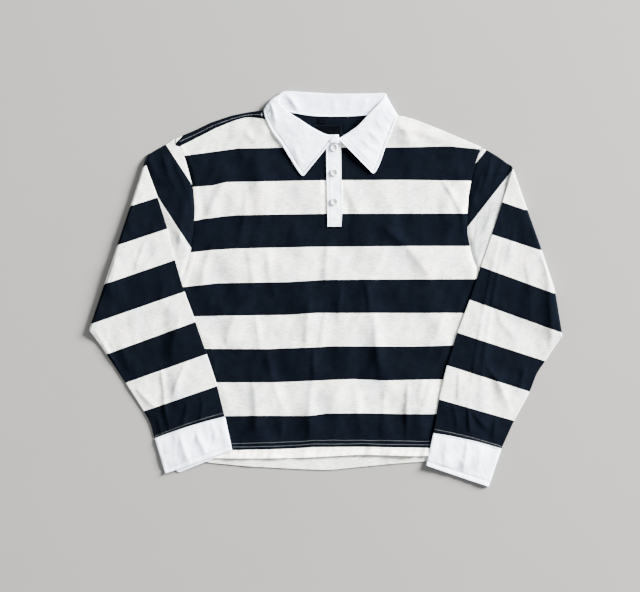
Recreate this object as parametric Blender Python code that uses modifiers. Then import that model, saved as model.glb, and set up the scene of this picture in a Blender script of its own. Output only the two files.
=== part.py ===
"""Long-sleeved rugby shirt laid flat on its back, both forearms folded in over the body.

The frame is +Z up, with the collar towards +Y, the hem towards -Y and the wearer's left
at +X. Tables are in millimetres and the meshes in metres. Heights are those of the middle
of the cloth, whose wall Solidify makes.
"""

import bpy
import bmesh
import numpy as np
from math import cos, pi, radians, sin

MM = 0.001

# Cloth and seams
JERSEY = 1.2            # knitted cloth of body and sleeves
WOVEN = 1.6             # two plies of woven cotton in collar and cuffs
PLACKET_CLOTH = 1.3     # folded strip of the placket
LABEL_CLOTH = 1.0
GAP = 0.35              # clear space at seams and between layers
ARMHOLE_GAP = 0.75      # along X, over the slope of the armhole

# Heights of the layers over the floor
BACK_Z = JERSEY / 2
FRONT_Z = BACK_Z + JERSEY + GAP
LAYER = FRONT_Z - BACK_Z
TURN_Z = (BACK_Z + FRONT_Z) / 2      # centre of the turned edge of a flattened tube
TURN_R = LAYER / 2
STACK = FRONT_Z + JERSEY / 2 + GAP   # where a forearm starts, over two layers of cloth

# Side outlines of the body, from the hem up: y, x
RIGHT_SIDE = (
    (-330, -256), (-150, -264), (-8, -270), (3, -261), (30, -255), (65, -244), (105, -238),
    (145, -236), (180, -238.5), (213, -247), (238, -254), (257, -264), (270, -271.5),
    (340, -275),
)
LEFT_SIDE = (
    (-330, 265), (-150, 274), (-8, 280), (3, 277), (32, 273), (62, 262), (100, 254.5),
    (138, 254), (172, 256.5), (204, 262.5), (230, 270), (256, 279), (340, 279),
)

# Lower and upper edges of the panels: x, y
FRONT_HEM = (
    (-256, -301), (-182, -304), (-119, -304), (-47, -303), (2, -300.5), (65, -297),
    (162, -300), (266, -297),
)
BACK_HEM = (
    (-256, -303), (-214, -311), (-143, -318), (-47, -323), (2, -325), (113, -314),
    (180, -309), (266, -302),
)
FRONT_TOP = (
    (-264, 257), (-232, 273), (-199, 290), (-170, 302), (-151, 308), (-137, 310), (-124, 308.5),
    (-107, 306), (-92, 312), (-84, 308), (-71, 298), (-50, 284), (-26, 275), (-7, 270.5),
    (14, 269), (36, 270), (52, 275), (72, 285.5), (89, 300), (99, 312), (104, 317), (112, 314.5),
    (140, 310), (160, 304.5), (205, 286.5), (277, 256),
)
BACK_TOP = (
    (-273, 267.8), (-257, 276), (-232, 286.5), (-207, 299), (-170, 311.5), (-137, 318), (-110, 321.5),
    (-98, 322), (-72, 325), (-49, 319.5), (-27, 316), (19, 314.5), (55, 315.5), (78, 317.5),
    (98, 318), (104, 314), (112, 307), (140, 302), (160, 296.5), (205, 278.5), (277, 248),
)
NECK_LEFT_X, NECK_RIGHT_X = 104, -92     # high points of the shoulders, wearer's sides
MIDDLE_X = 14           # middle line of the placket
LEVEL_Y = -300, 271, 257     # hem, right and left shoulder, where the outline leaves the sides

# Rows of the panels: height of each at the right and the left side, and panel columns
ROW_HEIGHTS = (
    (-262, -260), (-215, -212), (-165, -162), (-115, -112), (-65, -62), (-22, -22), (-8, -8),
    (3, 3), (30, 32), (65, 62), (105, 100), (145, 138), (180, 172), (213, 204), (238, 230),
)
YOKE_ROWS = (0.42, 0.72)     # two more rows between the last one and the upper edge
SHOULDER_COLUMNS = 8
NECK_COLUMNS = 12

# The back neck lies on the turned-down collar
NECK_RISE = 2.4
NECK_RISE_X = (-136, -113, 131, 153)
NECK_RISE_Y = (284, 301)
FRONT_EARLY = 15        # the front starts to rise this far before the back
FRONT_SLACK = 0.2       # and rises by this share more

# Shoulder edges: the back wraps over the right one, and the front under the left one
WRAP_OVER_R = 1.3
SHOULDER_GAP = 0.5      # along Y, over the slope of the shoulder
WRAP_ANGLES = (45, 90, 135, 180)

# Broad soft folds of the front: x, y, half width, half length, lean in degrees, height
FRONT_FOLDS = (
    (-170, 60, 26, 120, 6, 2.6),
    (-95, 150, 30, 110, -6, 2.2),
    (-35, -60, 24, 150, 4, 2.8),
    (22, -190, 24, 110, -5, 2.4),
    (75, -40, 26, 130, 6, 2.6),
    (120, 120, 30, 120, -12, 2.2),
    (160, -200, 22, 90, 12, 2.4),
    (-120, -210, 24, 90, -10, 2.6),
    (190, 40, 24, 80, -20, 2.2),
)

# Where those folds grow from nothing to their full height
EDGE_ROOM = (4, 40)         # distance from the front's own edges
FOREARM_ROOM = (2, 26)      # distance from a forearm
STRIP_ROOM = (8, 20)        # distance from the placket's middle line
STRIP_PRESS = 0.75          # share of the height that the placket takes away
STRIP_FROM = (90, 120)      # y over which the placket starts
COLLAR_ROOM = (100, 140)    # distance from the middle line at which the collar's leaf ends
COLLAR_FROM = (175, 230)    # y over which the leaf starts

# Fold of each sleeve: edges as the folded sleeve shows them, x, y
SLEEVES = {
    "sleeve_right": {
        "side": RIGHT_SIDE,
        "armhole": (257, 238, 213, 180, 145, 105, 65, 30, 3),
        "shoulder": ((-273, 270), (-288, 261.5), (-308, 250.5), (-318, 243)),
        "armpit": ((-270, -4.5), (-420, -64)),
        "fold": ((-318, 243), (-345, 160), (-372, 79), (-399, -2), (-420, -64)),
        "turned": ((-325, 222), (-347, 153), (-374, 72), (-401, -9), (-423, -76)),
        "inner": ((-325, 222), (-303, 166), (-285, 109), (-272, 53), (-255, -4), (-235, -58),
                  (-215, -116), (-196, -173), (-182.5, -228)),
        "outer": ((-423, -76), (-395, -117), (-361, -168), (-329, -218), (-317, -237),
                  (-309, -267.5)),
    },
    "sleeve_left": {
        "side": LEFT_SIDE,
        "armhole": (243, 230, 204, 172, 138, 100, 62, 32, 3),
        "shoulder": ((280, 252), (289, 251.5), (309, 239.5), (323, 229.5), (330, 223)),
        "armpit": ((281, -4.5), (419, -69)),
        "fold": ((330, 223), (352, 160), (378, 88), (405, 7), (419, -69)),
        "turned": ((335, 211), (356, 150), (383, 74), (410, -7), (422, -86)),
        "inner": ((335, 211), (317, 157), (298, 99), (278, 41), (258, -19), (236, -77),
                  (217, -137), (203, -197), (193, -258)),
        "outer": ((422, -86), (396, -127), (379, -151), (367, -184), (339, -235), (316, -286)),
    },
}
FOLD_Z = 4.2            # centre of the roll where a sleeve turns over
FOLD_REACH = 24         # the roll flattens over this distance from the fold
EDGE_INSET = TURN_R + JERSEY / 2     # middle of the cloth inside the tube's outline
UPPER_TAPER, FOREARM_TAPER = 0.25, 0.125     # share of the length that takes to come in
ARMHOLE_FADE = 0.85     # share of the upper part over which the armhole's curve fades
ROLL_ANGLES = (30, 60, 90, 120, 150)
ACROSS = 11             # points across one layer of a flattened tube
UPPER_ROWS = (0.0, 0.15, 0.35, 0.6, 0.83)
FOREARM_ROWS = (0.03, 0.09, 0.17, 0.27, 0.38, 0.49, 0.6, 0.7, 0.8, 0.9, 1.0)
DROP_START, DROP_END = 5, 30    # a forearm comes down to the floor this far off the body

# Cuffs: seam and free edge, inner then outer corner, x, y; the lower ply peeks out
CUFFS = {
    "cuff_right": {
        "seam": ((-182, -229), (-308.5, -268.5)),
        "edge": ((-169.5, -288.5), (-290, -331.5)),
        "peek": 6.5,
    },
    "cuff_left": {
        "seam": ((193, -259), (315.5, -287)),
        "edge": ((180, -316.5), (292.5, -354.5)),
        "peek": 1.0,
    },
}
CUFF_ROWS = (0.0, 0.33, 0.67, 1.0)
CUFF_RADIUS = (WOVEN + GAP) / 2
CUFF_LOW = STACK + WOVEN / 2 + GAP / 2     # middle of a cuff's lower layer over the body
PEEK_START = 0.15       # how far into its bow the lower layer starts to show

# Collar stations from the right point round the neck to the left point.
# seam x, y, z | roll x, y, z | edge x, y, z | tilt of the roll in degrees | outward belly
COLLAR_ROLL_R = 1.5
COLLAR = (
    ((11, 261, 8.6), (18, 278, 8.6), (-42, 203, 4.6), 90, 0),
    ((-8, 267, 6.0), (1, 278, 7.8), (-52, 216, 4.4), 90, 0),
    ((-27, 272, 5.1), (-22, 289, 7.4), (-65, 237, 4.3), 90, 0),
    ((-52, 282, 6.2), (-44, 303, 8.4), (-82, 264, 5.0), 90, 0),
    ((-74, 297, 7.1), (-67, 318, 9.2), (-97, 284, 6.6), 90, 0),
    ((-87, 312, 7.1), (-82, 332, 9.4), (-109, 314, 8.2), 85, 3),
    ((-90, 317, 7.0), (-85, 342, 8.2), (-113, 330, 5.2), 50, 5),
    ((-89, 320, 6.2), (-83, 350, 5.3), (-105, 322, 1.05), 0, 7),
    ((-80, 321, 5.2), (-75, 356, 3.2), (-84, 313, 0.9), -55, 8),
    ((-58, 318, 4.7), (-56, 355.5, 2.4), (-58, 309, 0.9), -90, 0),
    ((-27, 313, 4.7), (-25, 353.5, 2.4), (-27, 306, 0.9), -90, 0),
    ((12, 311.5, 4.7), (14, 351.5, 2.4), (12, 305, 0.9), -90, 0),
    ((52, 312.5, 4.7), (54, 351.5, 2.4), (52, 306, 0.9), -90, 0),
    ((81, 315, 4.7), (84, 352, 2.4), (81, 308, 0.9), -90, 0),
    ((98, 318, 5.2), (106, 352, 3.2), (101, 311, 0.9), -55, 6),
    ((104, 319, 6.2), (104, 345, 5.6), (117, 314, 1.1), 0, 6),
    ((105, 316, 7.0), (97, 336.5, 8.2), (131, 318, 5.0), 50, 5),
    ((102, 311.5, 7.1), (88, 327, 9.4), (127, 308, 8.2), 85, 3),
    ((91, 298, 7.1), (75, 313, 9.2), (117, 282, 6.1), 90, 0),
    ((72, 282, 6.2), (59, 295.5, 8.4), (107, 258, 4.8), 90, 0),
    ((53, 272, 5.1), (44, 284, 7.4), (98, 232, 4.3), 90, 0),
    ((37, 266.5, 6.0), (32, 276, 7.8), (91, 216, 4.4), 90, 0),
    ((26, 263, 6.6), (24, 271.5, 8.0), (85, 208, 4.6), 90, 0),
)
COLLAR_ARC = (-90, -45, 0, 45, 90)
COLLAR_LEAF = (0.25, 0.5, 0.75, 1.0)
LEAF_DROOP = 1.6        # the leaf falls later the higher this is
COLLAR_STEPS = 2

# Placket: y, left x, right x
PLACKET = (
    (270, 0, 26.5), (256, 0.3, 26.6), (200, 1.2, 27.4), (140, 2.4, 28.6), (113.5, 2.8, 27.2),
)
PLACKET_ROWS = 9

# Buttons: names and places, and one turned profile: radius, height
BUTTONS = {"button_1": (14.5, 255.5), "button_2": (14.5, 210.5), "button_3": (14.7, 158)}
BUTTON_PROFILE = (
    (0, 1.5), (4.2, 1.5), (5.0, 2.3), (6.1, 2.3), (6.75, 1.6), (6.75, 0.8), (6.0, 0), (0, 0),
)
BUTTON_SEGMENTS = 24

# Bare labels inside the back neck: centre x, y, width, height
LABELS = {"neck_label": (3.0, 286, 58, 20), "size_tab": (-6, 304, 13.5, 8)}

# Heights over the middle of the cloth below
PLACKET_LIFT = (JERSEY + PLACKET_CLOTH) / 2 + GAP
BUTTON_LIFT = JERSEY / 2 + PLACKET_CLOTH + 2 * GAP + 0.4
LABEL_LIFT = (JERSEY + LABEL_CLOTH) / 2 + 3 * GAP

# Colour, roughness of each cloth
CLOTHS = {
    "jersey": ((0.009, 0.013, 0.023, 1), 0.85),
    "woven": ((0.86, 0.88, 0.91, 1), 0.8),
    "button": ((0.84, 0.84, 0.80, 1), 0.3),
    "label": ((0.012, 0.013, 0.016, 1), 0.7),
}


def new_collection(name):
    collection = bpy.data.collections.new(name)
    bpy.context.scene.collection.children.link(collection)
    return collection


def new_material(name):
    colour, roughness = CLOTHS[name]
    material = bpy.data.materials.new(name)
    material.use_nodes = True
    shader = material.node_tree.nodes["Principled BSDF"]
    shader.inputs["Base Color"].default_value = colour
    shader.inputs["Roughness"].default_value = roughness
    shader.inputs["Metallic"].default_value = 0.0
    return material


def ease(value, low, high):
    """0 below low, 1 above high and a smooth step between."""
    t = np.clip((value - low) / (high - low), 0.0, 1.0)
    return t * t * (3 - 2 * t)


def unit(vector):
    return vector / np.linalg.norm(vector)


def lookup(table, key):
    """Second column of a table at a value of its first column."""
    columns = np.array(table, float)
    return float(np.interp(key, columns[:, 0], columns[:, 1]))


def along(points, fractions):
    """Points at the given fractions of a line's length."""
    line = np.array(points, float)
    steps = np.linalg.norm(np.diff(line, axis=0), axis=1)
    run = np.concatenate([[0], np.cumsum(steps)]) / steps.sum()
    return np.stack([np.interp(fractions, run, column) for column in line.T], axis=1)


def edge_normals(points, away_from):
    """Unit normals of a plan line, on the side that faces away from a point."""
    tangent = np.gradient(np.array(points, float), axis=0)
    normal = np.stack([tangent[:, 1], -tangent[:, 0]], axis=1)
    normal /= np.linalg.norm(normal, axis=1)[:, None]
    outward = np.array(points, float) - np.array(away_from, float)
    normal[(normal * outward).sum(axis=1) < 0] *= -1
    return normal


def distance_outside(point, outline):
    """Distance of a plan point from an outline, 0 inside it."""
    best = 1e9
    inside = False
    x, y = point
    for (x0, y0), (x1, y1) in zip(outline, outline[1:] + outline[:1]):
        run = np.array((x1 - x0, y1 - y0))
        t = np.clip(((x - x0) * run[0] + (y - y0) * run[1]) / run.dot(run), 0, 1)
        best = min(best, np.hypot(x - x0 - t * run[0], y - y0 - t * run[1]))
        if (y0 > y) != (y1 > y) and x < (x1 - x0) * (y - y0) / (y1 - y0) + x0:
            inside = not inside
    return 0.0 if inside else best


def cloth_object(name, grids, thickness, slot, collection, even=True):
    """Sheet joined from grids of points, with a wall made by Solidify."""
    shape = bmesh.new()
    for grid in grids:
        rows = [[shape.verts.new([c * MM for c in point]) for point in row] for row in grid]
        for lower, upper in zip(rows, rows[1:]):
            for i in range(len(lower) - 1):
                shape.faces.new((lower[i], lower[i + 1], upper[i + 1], upper[i]))
    bmesh.ops.remove_doubles(shape, verts=shape.verts, dist=0.00002)
    bmesh.ops.recalc_face_normals(shape, faces=shape.faces)
    mesh = bpy.data.meshes.new(name)
    shape.to_mesh(mesh)
    shape.free()
    mesh.materials.append(slot)
    mesh.shade_smooth()
    cloth = bpy.data.objects.new(name, mesh)
    collection.objects.link(cloth)
    wall = cloth.modifiers.new("wall", "SOLIDIFY")
    wall.thickness = thickness * MM
    wall.offset = 0.0
    wall.use_even_offset = even
    wall.use_quality_normals = True
    return cloth


# Body panels

def neck_rise(x, y):
    """Extra height of the body where the collar is turned down under it."""
    low, high = NECK_RISE_Y
    slope = np.clip((y - low) / (high - low), 0, 1)
    return NECK_RISE * slope * np.interp(x, NECK_RISE_X, (0, 1, 1, 0))


def forearm_clearance(x, y):
    """Distance of a point of the front from the nearer forearm, negative under it."""
    right = SLEEVES["sleeve_right"]["inner"]
    left = SLEEVES["sleeve_left"]["inner"]
    line_r = np.array(right)[::-1]
    line_l = np.array(left)[::-1]
    return min(x - np.interp(y, line_r[:, 1], line_r[:, 0]),
               np.interp(y, line_l[:, 1], line_l[:, 0]) - x)


def front_puff(x, y):
    """Height of the soft folds of the front over its flat lie."""
    height = 0.0
    for fx, fy, half_width, half_length, lean, rise in FRONT_FOLDS:
        a = radians(lean)
        across = (x - fx) * cos(a) + (y - fy) * sin(a)
        length = -(x - fx) * sin(a) + (y - fy) * cos(a)
        height += rise * np.exp(-(across / half_width) ** 2 - (length / half_length) ** 2)
    sides = min(x - lookup(RIGHT_SIDE, y), lookup(LEFT_SIDE, y) - x)
    ends = min(y - lookup(FRONT_HEM, x), lookup(FRONT_TOP, x) - y)
    room = ease(min(sides, ends), *EDGE_ROOM) * ease(forearm_clearance(x, y), *FOREARM_ROOM)
    aside = abs(x - MIDDLE_X)
    strip = STRIP_PRESS * (1 - ease(aside, *STRIP_ROOM)) * ease(y, *STRIP_FROM)
    collar = ease(y, *COLLAR_FROM) * (1 - ease(aside, *COLLAR_ROOM))
    return height * room * (1 - strip) * (1 - collar)


def back_height(x, y):
    return BACK_Z + neck_rise(x, y)


def front_height(x, y):
    rise = (1 + FRONT_SLACK) * neck_rise(x, y + FRONT_EARLY)
    return FRONT_Z + rise + front_puff(x, y)


def side_point(edge, fraction):
    """Point of an upper or lower edge at a fraction of the width there."""
    y = lookup(edge, 0)
    for _ in range(40):
        left, right = lookup(RIGHT_SIDE, y), lookup(LEFT_SIDE, y)
        x = left + fraction * (right - left)
        y = 0.5 * (y + lookup(edge, x))
    return x, y


def column_fractions():
    """Fractions of the width, with a column at each high point of the shoulders."""
    low, high = RIGHT_SIDE[-1][1], LEFT_SIDE[-1][1]
    neck_r = (NECK_RIGHT_X - low) / (high - low)
    neck_l = (NECK_LEFT_X - low) / (high - low)
    return np.concatenate([
        np.linspace(0, neck_r, SHOULDER_COLUMNS + 1)[:-1],
        np.linspace(neck_r, neck_l, NECK_COLUMNS + 1)[:-1],
        np.linspace(neck_l, 1, SHOULDER_COLUMNS + 1),
    ])


def panel_grid(hem, top, height):
    """Rows of points of a body panel, from its hem to its top edge."""
    hem_r, hem_l = hem[0][1], hem[-1][1]
    top_r, top_l = top[0][1], top[-1][1]
    share_r = [0.0] + [(r - hem_r) / (top_r - hem_r) for r, _ in ROW_HEIGHTS] + [1.0]
    share_l = [0.0] + [(l - hem_l) / (top_l - hem_l) for _, l in ROW_HEIGHTS] + [1.0]
    for shares in (share_r, share_l):
        last = shares[-2]
        shares[-1:-1] = [last + part * (1 - last) for part in YOKE_ROWS]
    grid = []
    for right, left in zip(share_r, share_l):
        row = []
        for s in column_fractions():
            _, low = side_point(hem, s)
            _, high = side_point(top, s)
            y = low + (right + s * (left - right)) * (high - low)
            x = lookup(RIGHT_SIDE, y) * (1 - s) + lookup(LEFT_SIDE, y) * s
            row.append((x, y, height(x, y)))
        grid.append(row)
    return grid


def wrapped_edge(edge, ends, radius, rising):
    """Rows that roll over a shoulder edge and run to its seam on the other side."""
    plan = np.array(edge)[:, :2]
    outward = edge_normals(plan, (MIDDLE_X, 0))
    side = 1 if rising else -1
    rows = [list(edge)]
    for angle in WRAP_ANGLES:
        a = radians(angle)
        rows.append([
            (*(plan[i] + outward[i] * radius * sin(a)), edge[i][2] + side * radius * (1 - cos(a)))
            for i in range(len(edge))
        ])
    last = rows[-1]
    for share in (0.5, 1.0):
        rows.append([
            tuple(np.array(last[i]) * (1 - share) + np.array(ends[i]) * share)
            for i in range(len(edge))
        ])
    return rows


def make_back(collection, cloth):
    panel = panel_grid(BACK_HEM, BACK_TOP, back_height)
    shoulder = panel[-1][:SHOULDER_COLUMNS + 1]
    seam = panel_grid(FRONT_HEM, FRONT_TOP, front_height)[-1][:SHOULDER_COLUMNS + 1]
    ends = [(x, y + SHOULDER_GAP, z) for x, y, z in seam]
    strip = wrapped_edge(shoulder, ends, WRAP_OVER_R, rising=True)
    cloth_object("back_panel", [panel, strip], JERSEY, cloth, collection)


def make_front(collection, cloth):
    panel = panel_grid(FRONT_HEM, FRONT_TOP, front_height)
    shoulder = panel[-1][-(SHOULDER_COLUMNS + 1):]
    seam = panel_grid(BACK_HEM, BACK_TOP, back_height)[-1][-(SHOULDER_COLUMNS + 1):]
    ends = [(x, y + SHOULDER_GAP, z) for x, y, z in seam]
    strip = wrapped_edge(shoulder, ends, TURN_R, rising=False)
    cloth_object("front_panel", [panel, strip], JERSEY, cloth, collection)


# Sleeves and cuffs

def body_outline():
    hem, right_end, left_end = LEVEL_Y
    right = [(x, y) for y, x in RIGHT_SIDE if hem < y < right_end]
    left = [(x, y) for y, x in LEFT_SIDE if hem < y < left_end]
    return right + list(BACK_TOP[1:-1]) + left[::-1] + list(BACK_HEM[::-1])


def upper_outline(cut):
    return [cut["armpit"][0]] + list(cut["shoulder"]) + list(cut["fold"][1:])


def carried_height(point, outlines):
    """Height at which a forearm lies: on two layers of cloth, or down on the floor."""
    away = min(distance_outside(point, outline) for outline in outlines)
    return -STACK * ease(away, DROP_START, DROP_END)


def ring_layout():
    """Place across, height and outward reach of each point round a flattened tube."""
    across = np.linspace(0, 1, ACROSS)
    turn = [radians(a) for a in (45, 90, 135)]
    ring = [(q, FRONT_Z, 0.0) for q in across]
    ring += [(1.0, TURN_Z + TURN_R * cos(a), TURN_R * sin(a)) for a in turn]
    ring += [(q, BACK_Z, 0.0) for q in across[::-1]]
    ring += [(0.0, TURN_Z - TURN_R * cos(a), TURN_R * sin(a)) for a in turn]
    return ring + ring[:1]


def armhole_curve(cut):
    """Armhole seam from the shoulder to the armpit, just off the body's side."""
    off = np.sign(cut["side"][0][1]) * ARMHOLE_GAP
    line = [(lookup(cut["side"], y) + off, y) for y in cut["armhole"]]
    return np.array([cut["shoulder"][0]] + line + [cut["armpit"][0]], float)


def flat_row(points, reach_in, reach_out, height_of):
    """One ring of a flattened tube that lies flat in plan."""
    row = []
    for q, h, reach in ring_layout():
        index = q * (ACROSS - 1)
        i = int(min(index, ACROSS - 2))
        place = points[i] + (points[i + 1] - points[i]) * (index - i)
        place = place + (reach_in if q < 0.5 else reach_out) * reach
        row.append((place[0], place[1], height_of(place, h)))
    return row


def upper_rows(cut, fold, middle):
    """Rings of a sleeve from its armhole to its fold, flat on the floor."""
    q = np.linspace(0, 1, ACROSS)[:, None]
    shares = np.array(UPPER_ROWS + (1.0,))
    top, under = along(cut["shoulder"], shares), along(cut["armpit"], shares)
    top_out, under_out = edge_normals(top, middle), edge_normals(under, middle)
    armhole = armhole_curve(cut)
    bow = armhole - (armhole[0] + (armhole[-1] - armhole[0]) * q)
    rows = []
    for k, u in enumerate(shares):
        inset = EDGE_INSET * min(1, u / UPPER_TAPER)
        a, b = top[k] - top_out[k] * inset, under[k] - under_out[k] * inset
        points = a + (b - a) * q + bow * (1 - ease(u, 0, ARMHOLE_FADE))
        if u == 1.0:
            points = fold
        rows.append(flat_row(points, top_out[k], under_out[k], lambda place, h: h))
    return rows, (top_out[-1], under_out[-1])


def rolled_rows(fold, turned, middle, edge_outs):
    """Rings that turn over the fold, on half circles about its line."""
    out = edge_normals(fold, middle)
    run = np.gradient(fold, axis=0)
    run /= np.linalg.norm(run, axis=1)[:, None]
    rows = []
    for angle in ROLL_ANGLES:
        a = radians(angle)
        base = fold + (turned - fold) * (1 - cos(a)) / 2
        row = []
        for q, h, reach in ring_layout():
            index = q * (ACROSS - 1)
            j = int(min(index, ACROSS - 2))
            place = base[j] + (base[j + 1] - base[j]) * (index - j)
            aside = out[j] + (out[j + 1] - out[j]) * (index - j)
            radius = FOLD_Z - h
            end = 0 if q < 0.5 else -1
            ahead_part = edge_outs[end].dot(run[end])
            aside_part = edge_outs[end].dot(out[end])
            plan = place + aside * radius * sin(a)
            plan = plan + reach * (run[end] * ahead_part + aside * aside_part * cos(a))
            row.append((*plan, FOLD_Z - radius * cos(a) + reach * aside_part * sin(a)))
        rows.append(row)
    return rows


def forearm_rows(cut, turned, outlines):
    """Rings of a forearm from the fold to the cuff seam, on the body and down to the floor."""
    q = np.linspace(0, 1, ACROSS)[:, None]
    middle = np.mean([cut["inner"][0], cut["inner"][-1], cut["outer"][0], cut["outer"][-1]],
                     axis=0)
    shares = np.array((0.0,) + FOREARM_ROWS)
    inner, outer = along(cut["inner"], shares), along(cut["outer"], shares)
    inner_out, outer_out = edge_normals(inner, middle), edge_normals(outer, middle)
    flat_z = FRONT_Z + LAYER / 2

    def height(place, h):
        away = np.min(np.linalg.norm(turned - place, axis=1))
        centre = flat_z + (FOLD_Z - flat_z) * np.exp(-(away / FOLD_REACH) ** 2)
        return 2 * centre - h + carried_height(place, outlines)

    rows = []
    for k, w in enumerate(shares):
        inset = EDGE_INSET * min(1, w / FOREARM_TAPER)
        a, b = inner[k] - inner_out[k] * inset, outer[k] - outer_out[k] * inset
        points = turned if w == 0 else a + (b - a) * q
        rows.append(flat_row(points, inner_out[k], outer_out[k], height))
    return rows


def sleeve_rows(cut, outlines):
    q = np.linspace(0, 1, ACROSS)
    middle = np.mean([cut["shoulder"][0], cut["armpit"][0], cut["armpit"][1]], axis=0)
    fold, turned = along(cut["fold"], q), along(cut["turned"], q)
    rows, edge_outs = upper_rows(cut, fold, middle)
    rows += rolled_rows(fold, turned, middle, edge_outs)
    return rows + forearm_rows(cut, turned, outlines)


def make_sleeve(name, collection, cloth):
    cut = SLEEVES[name]
    outlines = [body_outline(), upper_outline(cut)]
    cloth_object(name, [sleeve_rows(cut, outlines)], JERSEY, cloth, collection)


def make_cuff(name, collection, cloth):
    """Flattened tube of folded cloth at the end of a forearm."""
    cut = CUFFS[name]
    outlines = [body_outline()]
    seam = np.array(cut["seam"], float)
    edge = np.array(cut["edge"], float)
    across = unit(seam[1] - seam[0])
    down = unit(edge.mean(axis=0) - seam.mean(axis=0))
    radius = CUFF_RADIUS
    inset = radius + WOVEN / 2
    low = CUFF_LOW
    q = np.linspace(0, 1, ACROSS)
    turn = [radians(a) for a in (45, 90, 135)]
    rows = []
    for w in CUFF_ROWS:
        a, b = seam + (edge - seam) * w + np.array([across, -across]) * inset
        row = []
        for t in q:
            row.append((*(a + (b - a) * t), low + 2 * radius))
        for angle in turn:
            row.append((*(b + across * radius * sin(angle)), low + radius * (1 + cos(angle))))
        for t in q[::-1]:
            bow = sin(pi * min(1, PEEK_START + t * (1 - PEEK_START))) ** 0.5
            peek = down * cut["peek"] * w * bow
            row.append((*(a + (b - a) * t + peek), low))
        for angle in turn:
            row.append((*(a - across * radius * sin(angle)), low + radius * (1 - cos(angle))))
        row = [(x, y, z + carried_height((x, y), outlines)) for x, y, z in row]
        rows.append(row + row[:1])
    cloth_object(name, [rows], WOVEN, cloth, collection)


# Collar and placket

def collar_section(seam, roll, edge, tilt, belly, neck_side):
    """Points of one cut through the collar, from the neck seam to the free edge."""
    seam, roll, edge = (np.array(p, float) for p in (seam, roll, edge))
    ahead = np.append(unit((roll - seam)[:2]), 0)
    fall = np.append((edge - roll)[:2], 0)
    side = fall - ahead * fall.dot(ahead)
    side = unit(side) if np.linalg.norm(side) > 1 else np.array((neck_side, 0, 0), float)
    t = radians(tilt)
    over = side * cos(t) + np.array((0, 0, 1)) * sin(t)
    centre = roll - ahead * COLLAR_ROLL_R
    arc = [centre + COLLAR_ROLL_R * (ahead * cos(radians(a)) + over * sin(radians(a)))
           for a in COLLAR_ARC]
    points = [seam, (seam + arc[0]) / 2] + arc
    start = arc[-1]
    outward = unit(np.array((fall[1], -fall[0], 0)))
    if outward[0] * neck_side < 0:
        outward = -outward
    for f in COLLAR_LEAF:
        point = start + (edge - start) * f
        point[2] = start[2] + (edge[2] - start[2]) * f ** LEAF_DROOP
        points.append(point + outward * belly * 4 * f * (1 - f))
    return np.array(points)


def catmull(p0, p1, p2, p3, t):
    return 0.5 * (2 * p1 + (p2 - p0) * t + (2 * p0 - 5 * p1 + 4 * p2 - p3) * t * t
                  + (3 * p1 - p0 - 3 * p2 + p3) * t ** 3)


def make_collar(collection, cloth):
    cuts = [collar_section(*station, -1 if station[1][0] < MIDDLE_X else 1) for station in COLLAR]
    cuts = [2 * cuts[0] - cuts[1]] + cuts + [2 * cuts[-1] - cuts[-2]]
    rows = []
    for i in range(1, len(cuts) - 2):
        for step in range(COLLAR_STEPS):
            rows.append(catmull(*cuts[i - 1:i + 3], step / COLLAR_STEPS))
    rows.append(cuts[-2])
    cloth_object("collar", [rows], WOVEN, cloth, collection, even=False)


def make_placket(collection, cloth):
    """Strip on the front: the front's own points, moved out."""
    heights = np.linspace(PLACKET[0][0], PLACKET[-1][0], PLACKET_ROWS)
    table = np.array(PLACKET[::-1], float)
    rows = []
    for y in heights:
        left, right = (np.interp(y, table[:, 0], table[:, k]) for k in (1, 2))
        rows.append([(x, y, front_height(x, y) + PLACKET_LIFT)
                     for x in np.linspace(left, right, 4)])
    cloth_object("placket", [rows], PLACKET_CLOTH, cloth, collection)


def make_button(name, collection, material):
    """Turned disc with a raised rim, on the placket."""
    x, y = BUTTONS[name]
    profile = bmesh.new()
    points = [profile.verts.new((r * MM, 0, h * MM)) for r, h in BUTTON_PROFILE]
    for first, second in zip(points, points[1:]):
        profile.edges.new((first, second))
    mesh = bpy.data.meshes.new(name)
    profile.to_mesh(mesh)
    profile.free()
    mesh.materials.append(material)
    button = bpy.data.objects.new(name, mesh)
    collection.objects.link(button)
    button.location = (x * MM, y * MM, (front_height(x, y) + BUTTON_LIFT) * MM)
    turn = button.modifiers.new("turn", "SCREW")
    turn.steps = BUTTON_SEGMENTS
    turn.render_steps = BUTTON_SEGMENTS
    turn.use_merge_vertices = True
    turn.merge_threshold = 0.00005
    turn.use_smooth_shade = True


def make_label(name, collection, material):
    """Small bare rectangle of woven ribbon on the inside of the back."""
    x, y, width, height = LABELS[name]
    rows = []
    for v in np.linspace(y - height / 2, y + height / 2, 4):
        rows.append([(u, v, back_height(u, v) + LABEL_LIFT)
                     for u in np.linspace(x - width / 2, x + width / 2, 5)])
    cloth_object(name, [rows], LABEL_CLOTH, material, collection)


def main():
    for old in list(bpy.data.objects):
        bpy.data.objects.remove(old)
    shirt = new_collection("rugby_shirt")
    cloths = {name: new_material(name) for name in CLOTHS}
    make_back(shirt, cloths["jersey"])
    make_front(shirt, cloths["jersey"])
    for name in SLEEVES:
        make_sleeve(name, shirt, cloths["jersey"])
    for name in CUFFS:
        make_cuff(name, shirt, cloths["woven"])
    make_collar(shirt, cloths["woven"])
    make_placket(shirt, cloths["woven"])
    for name in BUTTONS:
        make_button(name, shirt, cloths["button"])
    for name in LABELS:
        make_label(name, shirt, cloths["label"])


main()
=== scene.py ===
"""Cloth, seams, stitching and buttons of a striped rugby shirt laid flat with folded sleeves.

Tables and layout are in millimetres, with the collar towards +Y and the wearer's left at +X.
Every piece of cloth is first a grid of points in the middle of its wall.
"""

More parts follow.
